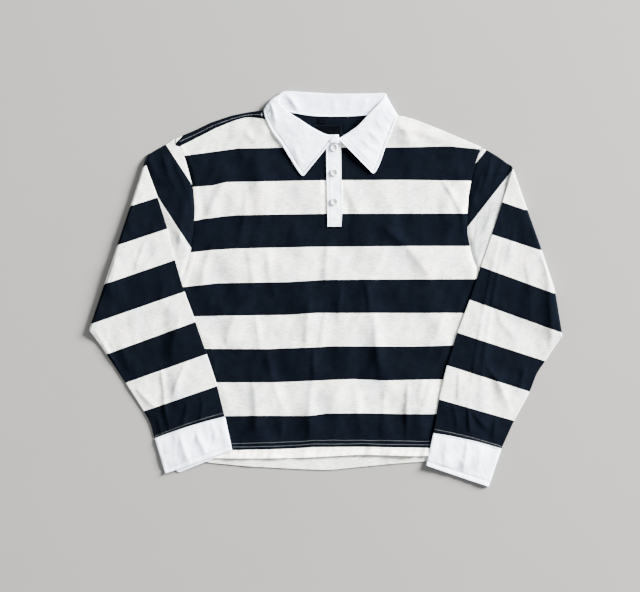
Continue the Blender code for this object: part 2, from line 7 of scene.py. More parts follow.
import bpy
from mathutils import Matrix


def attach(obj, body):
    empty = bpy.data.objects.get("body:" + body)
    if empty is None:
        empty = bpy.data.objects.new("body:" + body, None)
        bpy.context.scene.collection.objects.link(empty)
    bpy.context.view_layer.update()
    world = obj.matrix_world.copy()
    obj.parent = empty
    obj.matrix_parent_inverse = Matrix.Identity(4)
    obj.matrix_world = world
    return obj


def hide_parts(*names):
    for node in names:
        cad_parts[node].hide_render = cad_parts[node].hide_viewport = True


bl_info = {
    "name": "Rugby Shirt Laid Flat",
    "version": (1, 0, 0),
    "blender": (4, 5, 0),
    "location": "View3D > Sidebar > Rugby Shirt",
    "description": "Jersey panels, folded sleeves, woven collar, placket, buttons and stitching",
    "category": "Mesh",
}

from math import cos, pi, radians, sin

import bmesh
import bpy
import numpy as np
from mathutils import Vector

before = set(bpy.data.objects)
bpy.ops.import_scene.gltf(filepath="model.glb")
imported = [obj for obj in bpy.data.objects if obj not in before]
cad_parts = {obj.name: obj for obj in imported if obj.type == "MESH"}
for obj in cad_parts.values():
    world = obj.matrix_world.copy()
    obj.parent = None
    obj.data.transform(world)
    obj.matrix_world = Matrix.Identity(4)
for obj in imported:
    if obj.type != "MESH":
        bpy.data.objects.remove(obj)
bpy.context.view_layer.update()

MM = 0.001
STRIPE = 60.5           # height of one stripe, the unit of the cloth coordinates

# Cloth and seams
JERSEY = 1.2
WOVEN = 1.6
PLACKET_CLOTH = 1.3
LABEL_CLOTH = 1.0
LABEL_WALL = 0.45
GAP = 0.35
ARMHOLE_GAP = 0.25
MIDDLE = 14             # of the neck and the placket, x

# Heights of the layers over the floor
BACK_Z = JERSEY / 2
FRONT_Z = BACK_Z + JERSEY + GAP
LAYER = FRONT_Z - BACK_Z
TURN_R = LAYER / 2
STACK = FRONT_Z + JERSEY / 2 + GAP
PLACKET_LIFT = (JERSEY + PLACKET_CLOTH) / 2 + GAP       # over the front
BUTTON_LIFT = JERSEY / 2 + PLACKET_CLOTH + 2 * GAP + 0.7
LABEL_LIFT = (JERSEY + LABEL_CLOTH) / 2 + 2.5 * GAP     # over the back
BACK_POINTS, FRONT_POINTS = (120, 150), (180, 206)      # points of a panel across and up
HEM_ROWS, HEM_PART = 20, 0.05   # rows of points at a hem, and their share of the length
SIDE_BLUR, HEM_BLUR = 4, 14     # how softly the corners of an outline are rounded
WRAP_ROWS, STRIP_ROWS = 10, 7   # rows of points of a shoulder strip, in its roll and after it
STRIP_BOW = 0.35                # of a shoulder strip, up from its seams

# Side outlines of the body, from the hem up: y, x
RIGHT_SIDE = (
    (-330, -256), (-150, -264), (-8, -270), (3, -261), (30, -255), (65, -244), (105, -238),
    (145, -236), (180, -238.5), (213, -247), (238, -254), (257, -264), (270, -271.5),
    (340, -275),
)
LEFT_SIDE = (
    (-330, 265), (-150, 274), (-8, 280), (3, 277), (32, 273), (62, 262), (100, 254.5),
    (138, 254), (172, 256.5), (204, 262.5), (230, 270), (256, 279), (340, 279),
)

# Lower and upper edges of the panels: x, y
FRONT_HEM = (
    (-256, -301), (-182, -304), (-119, -304), (-47, -303), (2, -300.5), (65, -297),
    (162, -300), (266, -297),
)
BACK_HEM = (
    (-256, -303), (-214, -311), (-143, -318), (-47, -323), (2, -325), (113, -314),
    (180, -309), (266, -302),
)
FRONT_TOP = (
    (-264, 257), (-232, 273), (-199, 290), (-170, 302), (-151, 308), (-137, 310), (-124, 308.5),
    (-107, 306), (-92, 312), (-84, 308), (-71, 298), (-50, 284), (-26, 275), (-7, 270.5),
    (14, 269), (36, 270), (52, 275), (72, 285.5), (89, 300), (99, 312), (104, 317), (112, 314.5),
    (140, 310), (160, 304.5), (205, 286.5), (277, 256),
)
BACK_TOP = (
    (-273, 267.8), (-257, 276), (-232, 286.5), (-207, 299), (-170, 311.5), (-137, 318),
    (-110, 321.5), (-98, 322), (-72, 325), (-49, 319.5), (-27, 316), (19, 314.5), (55, 315.5),
    (78, 317.5), (98, 318), (104, 314), (112, 307), (140, 302), (160, 296.5), (205, 278.5),
    (277, 248),
)
NECK_LEFT_X, NECK_RIGHT_X = 104, -92
SHOULDER_RIGHT_Y, SHOULDER_LEFT_Y = 271, 257    # where the sides end
SHOULDER_START = (262, 270)     # y where the side's edge runs out
ARMHOLE_FOOT = (-8, 6)
BODY_FOOT = -300

# The back neck lies on the turned-down collar
NECK_RISE = 2.4
NECK_RISE_X = (-136, -113, 131, 153)
NECK_RISE_Y = (284, 301)
FRONT_EARLY = 15        # how much lower down than the back the front starts to rise
FRONT_SLACK = 0.2       # and how much more it rises
FRONT_LOOSE = 0.12      # how far the front sinks where it lies flat
WRAP_OVER_R = 1.3       # of the back's edge where it comes over the right shoulder
SHOULDER_GAP = 0.3

# Broad soft folds of the front: x, y, half width, half length, lean in degrees, height
FRONT_FOLDS = (
    (-170, 60, 22, 120, 6, 3.6), (-122, 150, 24, 90, -6, 3.4), (-35, -60, 24, 150, 4, 2.8),
    (22, -190, 22, 110, -5, 3.4), (75, -40, 26, 130, 6, 2.6), (110, 120, 26, 110, -12, 3.2),
    (160, -200, 22, 90, 12, 2.4), (-120, -210, 24, 90, -10, 2.6), (190, 40, 24, 80, -20, 2.2),
)
FOLD_MARGIN = 26        # from the edges and the forearms
FOLD_BESIDE_PLACKET = 0.75      # of a fold's height that is lost at the placket

CREASE_RISE = 1.8       # times the height of each crease
# Creases of the front: start x, y, end x, y, bow, half width, height
FRONT_CREASES = (
    (-182, 192, -213, 126, 4, 9, 1.5), (-145, 182, -162, 70, -5, 8, 1.2),
    (36, 190, 70, 120, 3, 11, 1.2), (206, 200, 250, 122, -4, 6, 1.7),
    (-202, 86, -222, 2, 6, 9, 1.8), (-141, 80, -130, -4, 0, 9, 1.2),
    (-107, 74, -88, -30, 3, 8, 1.3), (3, 92, -3, -2, 0, 8, 1.2), (94, 118, 197, 6, -10, 13, 2.0),
    (-154, -32, -182, -112, 5, 9, 1.7), (-128, -40, -118, -112, 0, 6, 1.1),
    (-28, -14, -35, -118, 3, 8, 1.6), (-1, -34, -12, -112, 0, 6, 1.2), (29, 12, 21, -56, 2, 5, 1.0),
    (73, 14, 80, -50, 0, 4, 1.1), (87, -40, 101, -164, 3, 8, 1.6),
    (213, -36, 176, -118, -6, 10, 1.9), (-23, -98, -20, -170, 1, 5, 1.3),
    (-108, -106, -70, -230, 5, 9, 1.6), (-134, -152, -127, -266, -3, 8, 1.5),
    (-25, -154, -29, -266, 2, 8, 1.5), (148, -158, 144, -272, 1, 4, 1.5),
    (176, -158, 165, -204, 0, 7, 1.5), (188, -166, 168, -226, -3, 6, 1.3),
    (52, -170, 64, -262, 2, 10, 1.2), (104, -176, 98, -270, -3, 8, 1.1),
    (-78, -236, -84, -296, 0, 7, 1.2), (-148, 288, -120, 262, 2, 8, 1.5),
    (106, 300, 196, 284, 5, 9, 1.7), (104, 274, 172, 268, 3, 8, 1.3),
    (-215, 268, -128, 300, 4, 9, 1.1), (128, 296, 156, 262, -3, 9, 1.3),
    (150, 290, 250, 262, 4, 11, 1.2),
)
# Small uneven waves: slant, length along x, length along y, seed, height
FRONT_UNEVEN = ((0.3, 40, 80, 1, 2.3), (-0.4, 21, 38, 2, 1.2), (0, 9, 12, 3, 0.25))
CUFF_UNEVEN = ((0, 15, 24, 23, 0.8), (0, 6, 11, 25, 0.45))
COLLAR_UNEVEN = ((0, 16, 20, 31, 0.5), (0, 7, 8, 33, 0.35))
PLACKET_UNEVEN = ((0, 9, 11, 41, 0.45), (0, 30, 16, 43, 0.3))
BACK_UNEVEN = ((0, 13, 30, 5, 0.9),)
FRONT_LIFT = 0.3                # of the creased cloth over the flat
PLACKET_FLAT, LEAF_FLAT = 0.85, 0.9     # of the creases that is lost under placket and collar
PLACKET_CLEAR = 26              # half width of the flat cloth round the placket
FOREARM_CLEAR = (-6, 16)        # where the creases start, from the edge of a forearm
SIDE_FLAT = 8                   # how far in from the sides the creases start
SIDE_ROLL, SIDE_DROP = 3.5, 0.7         # width and depth of the rolled side edge
DOUBLED_RISE, HEM_RISE = 0.5, 0.3       # of doubled cloth, and of the hem over that
HEM_LIFT = 1.7                  # the front's hem edge off the back
HEM_LIFT_END = 10
HEM_TURN = (19.5, 21.5)         # where the turned-up hem ends, from the edge up
HEM_CREASES = (-4, 26)          # where the front's creases start
BACK_HEM_TURN, BACK_HEM_RISE = (17, 20), 0.45
BACK_SHARE = 0.35               # of the front's creases that the back has too
HEM_PUCKERS = (9.0, 1.3)        # length of one pucker and its height
PUCKER_END, BACK_PUCKER_END = (10, 24), (14, 34)
HEM_STITCHES = (5.7, 12.2)      # rows over the last stripe change
HEM_RUN = (-250, 262)           # ends of the rows, x
BACK_HEM_STITCH = 18            # from the back's edge up

# Stripe changes of the front, from the top: x, y at each point
STRIPE_LINES = (
    ((-262, 240), (-159, 254), (-78, 255.5), (106, 255.5), (223, 258), (273, 253)),
    ((-238, 184.5), (-204, 187), (-180, 193), (0, 196.5), (142, 197), (257, 195.5)),
    ((-238, 123.5), (-222, 127), (-187, 131.5), (-159, 134), (0, 136.5), (254, 137)),
    ((-242, 66.5), (-204, 71), (-160, 73.5), (-24, 76.5), (156, 78), (255, 78)),
    ((-258, 4.5), (-225, 8), (-196, 11.5), (-69, 13.5), (-2, 17.5), (66, 18), (268, 19)),
    ((-234, -48.5), (-180, -47.5), (-70, -46), (-18, -42.5), (246, -42.5)),
    ((-214, -106.5), (-106, -107), (-24, -104), (7, -102), (156, -102.5), (223, -100.5)),
    ((-196, -167.5), (-92, -167.5), (-24, -164.5), (47, -161.5), (106, -164), (205, -162)),
    ((-178, -227.5), (-106, -227), (-33, -227.5), (2, -223), (66, -222.5), (142, -224)),
    ((-169, -289.5), (-101, -288), (-47, -286), (-24, -284), (65, -283.5), (182, -285.5)),
)

SHOULDER_TIP = ((-268.8, 265.9), (-255.9, 279))
SHOULDER_ROW = 11.7             # row of the shoulder strip that is sewn

# Folded sleeves. Edges are plan lines, x, y. The head table gives the direction that crosses the
# stripes of the upper part, and how far along it each stripe changes. The bands are the stripe
# changes of the forearm, inner end then outer end. Creases are as for the front; raised ones lift
# both the upper part and the forearm on it.
SLEEVES = {
    "sleeve_right": {
        "side": RIGHT_SIDE,
        "armhole": (257, 3),
        "shoulder": ((-273, 270), (-288, 261.5), (-308, 250.5), (-318, 243)),
        "armpit": ((-270, -4.5), (-420, -64)),
        "fold": ((-318, 243), (-345, 160), (-372, 79), (-399, -2), (-420, -64)),
        "turned": ((-325, 222), (-347, 153), (-374, 72), (-401, -9), (-423, -76)),
        "inner": ((-325, 222), (-303, 166), (-285, 109), (-272, 53), (-255, -4), (-235, -58),
                  (-215, -116), (-196, -173), (-182.5, -228)),
        "outer": ((-423, -76), (-395, -117), (-361, -168), (-329, -218), (-317, -237),
                  (-309, -267.5)),
        "head": ((-0.839, -0.545), (39, 99.7, 163.6, 217.4, 276.2, 334.4, 391.8)),
        "bands": (
            ((-303, 166), (-356, 149)), ((-285, 109.5), (-380, 78)), ((-273, 53), (-404, 8)),
            ((-255, -4), (-426, -63.5)), ((-235, -58), (-395, -116.5)),
            ((-215, -116.5), (-360, -168)), ((-196, -173.5), (-328, -219)),
            ((-182, -228), (-309, -267.5)),
        ),
        "raised": (),
        # how much darker the upper part is painted beside the forearm: painted shade
        "painted_forearm_shade": 0.2,
        "seed": 11,
        "upper_creases": (
            (-264, 56, -249, 178, -3, 17, 1.9), (-262, 110, -270, 66, -2, 3, 0.5),
            (-270, 128, -246, 96, 1, 3, 0.45), (-274, 96, -250, 80, -1, 2.5, 0.45),
            (-284, 84, -258, 22, 3, 3, 0.6), (-268, 14, -242, 34, 1, 3, 0.6),
            (-320, 240, -292, 186, 3, 8, 1.3), (-296, 250, -262, 168, 4, 9, 1.2),
            (-276, 236, -250, 176, 0, 6, 0.9), (-290, 150, -256, 84, 3, 7, 0.9),
            (-268, 120, -248, 62, 2, 5, 0.8), (-266, 46, -245, 52, 0, 3, 0.7),
            (-268, 20, -252, 44, 2, 5, 0.9),
        ),
        "creases": (
            (-417, -73, -373, -143, 0, 2, 1.7), (-322, 94, -346, 26, 2, 4, 0.9),
            (-300, 70, -330, 34, 3, 6, 0.7), (-378, 60, -398, -20, -4, 12, 1.3),
            (-299, -136, -291, -230, -3, 6, 1.7), (-249, -126, -277, -198, 3, 5, 1.6),
            (-342, -176, -302, -216, 2, 6, 1.3), (-370, -96, -352, -150, 0, 9, 1.1),
            (-264, -44, -282, -104, -3, 8, 0.9), (-286, 20, -298, -44, 4, 10, 0.9),
            (-290, -206, -280, -254, 2, 6, 1.2), (-250, -204, -262, -248, -2, 5, 1.1),
            (-222, -196, -226, -240, 0, 5, 1.0), (-304, -226, -296, -262, 0, 5, 0.9),
        ),
    },
    "sleeve_left": {
        "side": LEFT_SIDE,
        "armhole": (243, 3),
        "shoulder": ((280, 252), (289, 251.5), (309, 239.5), (323, 229.5), (330, 223)),
        "armpit": ((281, -4.5), (419, -69)),
        "fold": ((330, 223), (352, 160), (378, 88), (405, 7), (419, -69)),
        "turned": ((335, 211), (356, 150), (383, 74), (410, -7), (422, -86)),
        "inner": ((335, 211), (317, 157), (298, 99), (278, 41), (258, -19), (236, -77),
                  (217, -137), (203, -197), (193, -258)),
        "outer": ((422, -86), (396, -127), (379, -151), (367, -184), (339, -235), (316, -286)),
        "head": ((0.788, -0.616), (13.5, 72.5, 131.5, 198, 262, 330, 384)),
        "bands": (
            ((317, 157.5), (362, 142)), ((298, 99), (388, 69.5)), ((278, 41.5), (415, -8.5)),
            ((258, -18.5), (425, -78.5)), ((236, -77.5), (395, -129)),
            ((217, -136.5), (367, -184.5)), ((203, -197.5), (338, -236)),
            ((193, -258.5), (316, -286)),
        ),
        "raised": ((322, 180, 288, 62, 0, 24, 2.3),),
        # how much darker the upper part is painted beside the forearm: painted shade
        "painted_forearm_shade": 1.0,
        "seed": 17,
        "upper_creases": (
            (276, 132, 268, 60, 2, 3, 0.5), (300, 150, 284, 104, -2, 3, 0.5),
            (264, 60, 282, 24, 2, 3, 0.5), (298, 240, 276, 168, -3, 7, 1.4),
            (318, 228, 300, 176, 2, 7, 1.0), (284, 212, 264, 150, 3, 6, 1.0),
            (296, 140, 268, 74, -3, 7, 0.9), (290, 96, 272, 46, 2, 6, 0.9),
        ),
        "creases": (
            (313, 96, 257, -206, 5, 4, 0.75), (323, 92, 275, -200, 5, 4, 0.75),
            (341, 120, 330, 60, 0, 7, 0.9), (357, 60, 368, -54, -4, 10, 1.2),
            (390, 74, 402, -134, -8, 9, 1.8), (306, -36, 346, -92, 4, 12, 1.5),
            (286, -134, 332, -222, -6, 10, 2.1), (358, -140, 344, -190, 0, 7, 1.4),
            (256, -206, 260, -262, 1, 5, 1.5), (262, -216, 296, -254, 3, 6, 1.3),
            (228, -204, 236, -254, -2, 6, 1.1), (306, -228, 300, -272, 0, 5, 1.1),
            (241, -138, 238, -204, 1, 4, 0.9),
        ),
    },
}
LAST_BAND = 6.98        # the navy band ends in the cuff seam
FOLD_Z = 4.2            # middle of the roll where a sleeve turns over
FOLD_REACH = 24
SLEEVE_ACROSS = 80      # points across one layer of a flattened sleeve
UPPER_ROWS = 58
ROLL_ROWS = 13
FOREARM_ROWS = 150
DROP_START, DROP_END = 5, 30    # beyond the body, of a forearm's way down to the floor
PAINTED_SHADE_Y = (196, 226)   # where the painted shade of the upper part beside the forearm ends
SLEEVE_PUFF = 0.9       # height of the middle of a sleeve over its edges
SLEEVE_GATHERS = 0.35   # height of the gathers at the cuff
ARMHOLE_SINK = 0.6
SLEEVE_STITCH_ROW = 2.9         # in rows of points before the cuff seam

# Cuffs: seam and free edge, inner then outer corner, x, y; creases as for the front
CUFFS = {
    "cuff_right": {
        "seam": ((-182, -229), (-308.5, -268.5)),
        "edge": ((-169.5, -288.5), (-290, -331.5)),
        "peek": 6.5,
        "creases": (
            (-263, -258, -244, -316, 3, 5, 1.5), (-234, -252, -210, -300, 4, 6, 1.3),
            (-206, -238, -200, -276, -2, 5, 1.1), (-288, -268, -280, -318, 2, 7, 0.8),
            (-190, -240, -178, -284, 0, 5, 0.9),
        ),
    },
    "cuff_left": {
        "seam": ((193, -259), (315.5, -287)),
        "edge": ((180, -316.5), (292.5, -354.5)),
        "peek": 1.0,
        "creases": (
            (254, -270, 244, -332, -2, 4, 1.2), (222, -268, 212, -318, 2, 8, 0.8),
            (284, -284, 272, -340, 3, 8, 0.8),
        ),
    },
}
CUFF_SEAM_BOW = 2.6
CUFF_STITCHES = (2.2, 7.0)      # from the seam and from the free edge
CUFF_LIFT, CUFF_SINK, CUFF_RIM = 0.35, 0.9, 1.1     # of the cloth, at the stitches, at the edge
CUFF_ACROSS = 48
CUFF_ROWS = 42

# Collar stations from the right point round the neck to the left point.
# seam x, y, z | roll x, y, z | edge x, y, z | tilt of the roll in degrees | outward belly
COLLAR_ROLL_R = 1.5
COLLAR = (
    ((11, 261, 8.6), (18, 278, 8.6), (-42, 203, 4.6), 90, 0),
    ((-8, 267, 6.0), (1, 278, 7.8), (-52, 216, 4.4), 90, 0),
    ((-27, 272, 5.1), (-22, 289, 7.4), (-65, 237, 4.3), 90, 0),
    ((-52, 282, 6.2), (-44, 303, 8.4), (-82, 264, 5.0), 90, 0),
    ((-74, 297, 7.1), (-67, 318, 9.2), (-97, 284, 6.6), 90, 0),
    ((-87, 312, 7.1), (-82, 332, 9.4), (-109, 309, 8.0), 85, 3),
    ((-90, 317, 7.0), (-85, 342, 8.2), (-111.5, 323, 5.2), 50, 4),
    ((-89, 320, 6.2), (-83, 350, 5.3), (-106, 318, 1.05), 0, 7),
    ((-80, 321, 5.2), (-75, 356, 3.2), (-84, 313, 0.9), -55, 8),
    ((-58, 318, 4.7), (-56, 355.5, 2.4), (-58, 309, 0.9), -90, 0),
    ((-27, 313, 4.7), (-25, 353.5, 2.4), (-27, 306, 0.9), -90, 0),
    ((12, 311.5, 4.7), (14, 351.5, 2.4), (12, 305, 0.9), -90, 0),
    ((52, 312.5, 4.7), (54, 351.5, 2.4), (52, 306, 0.9), -90, 0),
    ((81, 315, 4.7), (84, 352, 2.4), (81, 308, 0.9), -90, 0),
    ((98, 318, 5.2), (106, 352, 3.2), (101, 311, 0.9), -55, 6),
    ((104, 319, 6.2), (104, 345, 5.6), (118, 315, 1.1), 0, 6),
    ((105, 316, 7.0), (97, 336.5, 8.2), (128, 314.5, 5.0), 50, 4),
    ((102, 311.5, 7.1), (88, 327, 9.4), (125.5, 305, 8.2), 85, 2),
    ((91, 298, 7.1), (75, 313, 9.2), (117, 282, 6.1), 90, 0),
    ((72, 282, 6.2), (59, 295.5, 8.4), (107, 258, 4.8), 90, 0),
    ((53, 272, 5.1), (44, 284, 7.4), (98, 232, 4.3), 90, 0),
    ((37, 266.5, 6.0), (32, 276, 7.8), (91, 216, 4.4), 90, 0),
    ((26, 263, 6.6), (24, 271.5, 8.0), (85, 208, 4.6), 90, 0),
)
LEAF_Y, LEAF_REACH = (175, 230), (100, 140)     # where the leaf lies over the front
COLLAR_ARC = (-90, -45, 0, 45, 90)
COLLAR_LEAF = (0.25, 0.5, 0.75, 1.0)
COLLAR_FIRST_LEAF = 6           # place in a section where the leaf starts
COLLAR_ALONG = 12               # points from one station to the next
COLLAR_ACROSS = (6, 6, 4, 4, 4, 4, 5, 6, 8, 18)     # points from one place to the next
# Neck band's end over the top button: y, z, middle and half width in x, from its top down
BAND_END = (
    (278, 10.6, 18.6, 3.2), (275, 11.5, 17.8, 4.4), (270.5, 12.2, 16.2, 6.6),
    (266.5, 12.2, 15.0, 8.0), (264.2, 11.5, 14.6, 8.2), (263.8, 10.8, 14.6, 8.0),
    (265, 10.4, 14.8, 7.6), (268.5, 10.3, 15.4, 6.6),
)
COLLAR_STATION = 16             # length of leaf from one station to the next, near the points
COLLAR_TIP_R = 4.5              # of its two points
COLLAR_EDGE_STITCH = 5.0        # from the free edges of the leaf
COLLAR_STAND_STITCH = 0.35      # place in a section
COLLAR_LIFT = 0.25              # of the uneven cloth
COLLAR_SINK = (0.8, 0.6)        # at the stitches of the leaf and of the stand
COLLAR_PUCKER = 0.55
COLLAR_RIM = ((0.5, 2.4, 4.6), (-0.3, 0, 1.2))      # height, and where it fades, from the edge
COLLAR_CREASES = (
    (-101, 338, -96, 302, -3, 4, 1.0), (-75, 352, -50, 320, -3, 4, 1.7),
    (-72, 340, -58, 322, 0, 2, 0.5), (-98, 330, -92, 300, -2, 2.5, 0.8),
    (-66, 348, -42, 318, 2, 5, 0.8), (16, 346, 12, 318, 0, 5, 0.6), (48, 347, 42, 320, 2, 5, 0.7),
    (72, 345, 64, 322, 1, 5, 0.6), (-84, 262, -60, 236, 3, 8, 0.8), (-58, 258, -44, 226, 2, 7, 0.8),
    (72, 288, 98, 262, -3, 6, 0.9), (62, 272, 94, 250, 2, 6, 0.8), (88, 306, 112, 288, 2, 6, 0.8),
    (56, 256, 84, 228, 2, 7, 0.7),
)

# Placket: y, left x, right x
PLACKET = (
    (270, 0, 26.5), (256, 0.3, 26.6), (200, 1.2, 27.4), (140, 2.4, 28.6), (113.5, 2.8, 27.2),
)
PLACKET_START = (98, 116)       # y where the front lies flat for it
FACING = (-11, 38)              # sides of the facing behind the front, x
FACING_FOOT = (108, 112)
SEAM_EDGE = 11                  # of the armholes, behind the front
DOUBLED_TONE_AND_LIGHT = 2.2              # how much lighter doubled cloth is painted: partly its own tone, partly painted light that lifts it out of the placket's shadow
PLACKET_EDGE_STITCH = 3.4
PLACKET_BOX = (2.0, 11.5)       # rows of stitches across the foot, up from it
PLACKET_WIDTH = 26.4
PLACKET_QUILT, PLACKET_SINK = 0.5, 0.7          # of the cloth between and at the stitches
FINE = 0.75                     # share of the thread's thickness in jersey seams
THREAD_LIFT, SATIN_LIFT = 0.1, 0.25     # of the thread's middle over the cloth
THREAD_LOW = 0.4                # lowest level of the collar's thread
THREAD_SPREAD = 0.22            # of a button's two threads, each way
BUTTON_THREAD_SHADE = 0.12            # share of the white kept by the button thread: painted shade of the holes
# Buttons: x, y and turn
BUTTONS = {
    "button_1": (14.5, 255.5, 0.3), "button_2": (14.5, 210.5, 1.1), "button_3": (14.7, 158, 0.6),
}
# Turned profile of a button: radius, height
BUTTON_PROFILE = (
    (0, 1.1), (3.7, 1.05), (4.3, 1.4), (4.6, 2.2), (5.2, 2.5), (5.9, 2.45), (6.4, 2.1),
    (6.7, 1.6), (6.7, 1.0), (6.5, 0.6), (5.9, 0.25), (5.0, 0.1), (0, 0.1),
)
BUTTON_HOLE_R, BUTTON_HOLE_OUT = 0.95, 1.6
BUTTON_SEGMENTS = 48
BUTTONHOLE = (8, 9.5, 0.9)      # reach to both sides of the button, and of its rows from the slit
# Spacing, length and thickness of the stitches that differ from the seams
BARTACK, BUTTONHOLE_SATIN, BUTTON_SEWING = (0.6, 0.9), (0.55, 2.2, 0.5), (0.35, 0.7, 0.42)

# Bare labels inside the back neck: centre x, y, width, height
LABELS = {"neck_label": (3.0, 286, 58, 20), "size_tab": (-6, 304, 13.5, 8)}
TAB_LAYERS = (0.85, 0.05)       # how far the tab's two layers lie under the neck label's level
TAB_FOLD = 0.25                 # how far its fold reaches past them
LABEL_POINTS = (41, 21)         # across and up

COOL_PATCH_AND_SHADE, WARM_PATCH_AND_LIGHT = (0.86, 0.90, 0.93), (1.10, 1.08, 1.01)     # tints of broad random patches of the jersey; the cool one also tints its painted shade, the warm one its doubled cloth with painted light
STRIPE_WANDER = 0.012           # of the edges of the stripes, in stripes
YARN = (5.5, 21.0, 1.0)         # streaks of yarn to one stripe, across and along them
PATCH_AND_SHADE_TINT = (0.75, 0.74, 0.81)      # share of the white kept by random greyer patches of collar cloth, and by its painted shade on the stand and under the cuffs' upper edges
PAINTED_SATIN_SHEEN = (3.2, 3.2, 3.2)         # times the label's colour on its edge line: painted sheen of the satin

# Floor, light and camera, in metres
FLOOR_COLOUR, FLOOR_SIDE, FLOOR_Z = (0.172, 0.168, 0.161), 6.0, -0.0002
SKY, SKY_LIGHT = (0.93, 0.96, 1.0), 0.72
LAMPS = (("key", (6.3, 3.4, 2.8), 2.7, 8900.0), ("fill", (-1.7, -0.6, 1.8), 1.8, 22.0))
CAMERA_AT, CAMERA_WIDTH = (-0.011, -0.0117, 2.0), 1.152

# Grids of the pieces made so far: name, points in millimetres
GRIDS = {}


# Sums of plan lines and heights

def ease(value, low, high):
    """0 below low, 1 above high and a smooth step between."""
    t = np.clip((value - low) / (high - low), 0.0, 1.0)
    return t * t * (3 - 2 * t)


def fade(value, low, high):
    """1 below low, 0 above high and a smooth step between."""
    return 1 - ease(value, low, high)


def hump(distance, width):
    """1 at no distance, and a smooth fall on both sides."""
    return np.exp(-(distance / width) ** 2)


def unit(vector):
    return vector / np.linalg.norm(vector)


def bell(length):
    """Weights of a soft blur over that many steps each way."""
    weights = np.exp(-0.5 * (np.arange(-2 * length, 2 * length + 1) / length) ** 2)
    return weights / weights.sum()


def softened(table, blur):
    """Dense two-column table with its corners rounded, in steps of 1 mm."""
    rows = np.array(table, float)
    pad = 2 * blur
    key = np.arange(rows[0, 0] - pad, rows[-1, 0] + pad + 1)
    value = np.interp(key, rows[:, 0], rows[:, 1])
    for end, (first, second) in ((key < rows[0, 0], rows[:2]), (key > rows[-1, 0], rows[-2:])):
        slope = (second[1] - first[1]) / (second[0] - first[0])
        value[end] = first[1] + slope * (key[end] - first[0])
    return key[pad:len(key) - pad], np.convolve(value, bell(blur), mode="valid")


def look(table, key):
    return np.interp(key, *table)


SIDE_R, SIDE_L = softened(RIGHT_SIDE, SIDE_BLUR), softened(LEFT_SIDE, SIDE_BLUR)
HEM_FRONT, HEM_BACK = softened(FRONT_HEM, HEM_BLUR), softened(BACK_HEM, HEM_BLUR)
TOP_FRONT, TOP_BACK = softened(FRONT_TOP, SIDE_BLUR), softened(BACK_TOP, SIDE_BLUR)


def run_length(points, axis=0):
    """Length up to each point along the lines of a grid."""
    steps = np.linalg.norm(np.diff(points, axis=axis), axis=-1)
    start = [(int(k == axis), 0) for k in range(steps.ndim)]
    return np.pad(np.cumsum(steps, axis=axis), start)


def table_at(places, keys, table):
    """Every column of a table at the given places among its keys."""
    return np.stack([np.interp(places, keys, column) for column in np.asarray(table).T], axis=-1)


def along(line, fractions):
    """Points at the given fractions of a line's length."""
    run = run_length(line)
    return table_at(fractions, run / run[-1], line)


def rounded(points, blur=5.0):
    """Plan line in steps of 1 mm, with its corners rounded and its ends kept."""
    run = run_length(points)
    dense = np.vstack([table_at(np.arange(0, run[-1]), run, points), points[-1]])
    length = int(min(blur, len(dense) // 5))
    pad = 2 * length
    padded = np.vstack([2 * dense[0] - dense[pad:0:-1], dense,
                        2 * dense[-1] - dense[-2:-2 - pad:-1]])
    return np.stack([np.convolve(c, bell(length), mode="valid") for c in padded.T], axis=1)


def edge_normals(points, away_from):
    """Unit normals of a plan line, on the side that faces away from a point."""
    tangent = np.gradient(points, axis=0)
    normal = np.stack([tangent[:, 1], -tangent[:, 0]], axis=1)
    normal /= np.linalg.norm(normal, axis=1)[:, None]
    normal[(normal * (points - away_from)).sum(axis=1) < 0] *= -1
    return normal


def distance_outside(x, y, outline):
    """Distance of plan points from a closed outline, 0 inside it."""
    corners = np.array(outline, float)
    best = np.full(np.shape(x), np.inf)
    inside = np.zeros(np.shape(x), bool)
    for (x0, y0), (x1, y1) in zip(corners, np.roll(corners, -1, axis=0)):
        run_x, run_y = x1 - x0, y1 - y0
        t = np.clip(((x - x0) * run_x + (y - y0) * run_y) / (run_x ** 2 + run_y ** 2), 0, 1)
        best = np.minimum(best, np.hypot(x - x0 - t * run_x, y - y0 - t * run_y))
        if y0 != y1:
            inside ^= ((y0 > y) != (y1 > y)) & (x < run_x * (y - y0) / run_y + x0)
    return np.where(inside, 0.0, best)


def noise(x, y, seed):
    """Smooth uneven height from -1 to 1 that is the same on every run."""
    column, row = np.floor(x), np.floor(y)
    part_x, part_y = x - column, y - row

    def corner(right, up):
        spin = np.sin((column + right) * 127.1 + (row + up) * 311.7 + seed * 74.7) * 4375.85
        angle = 2 * pi * (spin - np.floor(spin))
        return np.cos(angle) * (part_x - right) + np.sin(angle) * (part_y - up)

    fade_x, fade_y = part_x ** 2 * (3 - 2 * part_x), part_y ** 2 * (3 - 2 * part_y)
    low = corner(0, 0) * (1 - fade_x) + corner(1, 0) * fade_x
    high = corner(0, 1) * (1 - fade_x) + corner(1, 1) * fade_x
    return 1.5 * (low * (1 - fade_y) + high * fade_y)


def uneven(x, y, layers):
    """Height of a table of noises."""
    return sum(rise * noise((x + slant * y) / wide, y / long, seed)
               for slant, wide, long, seed, rise in layers)


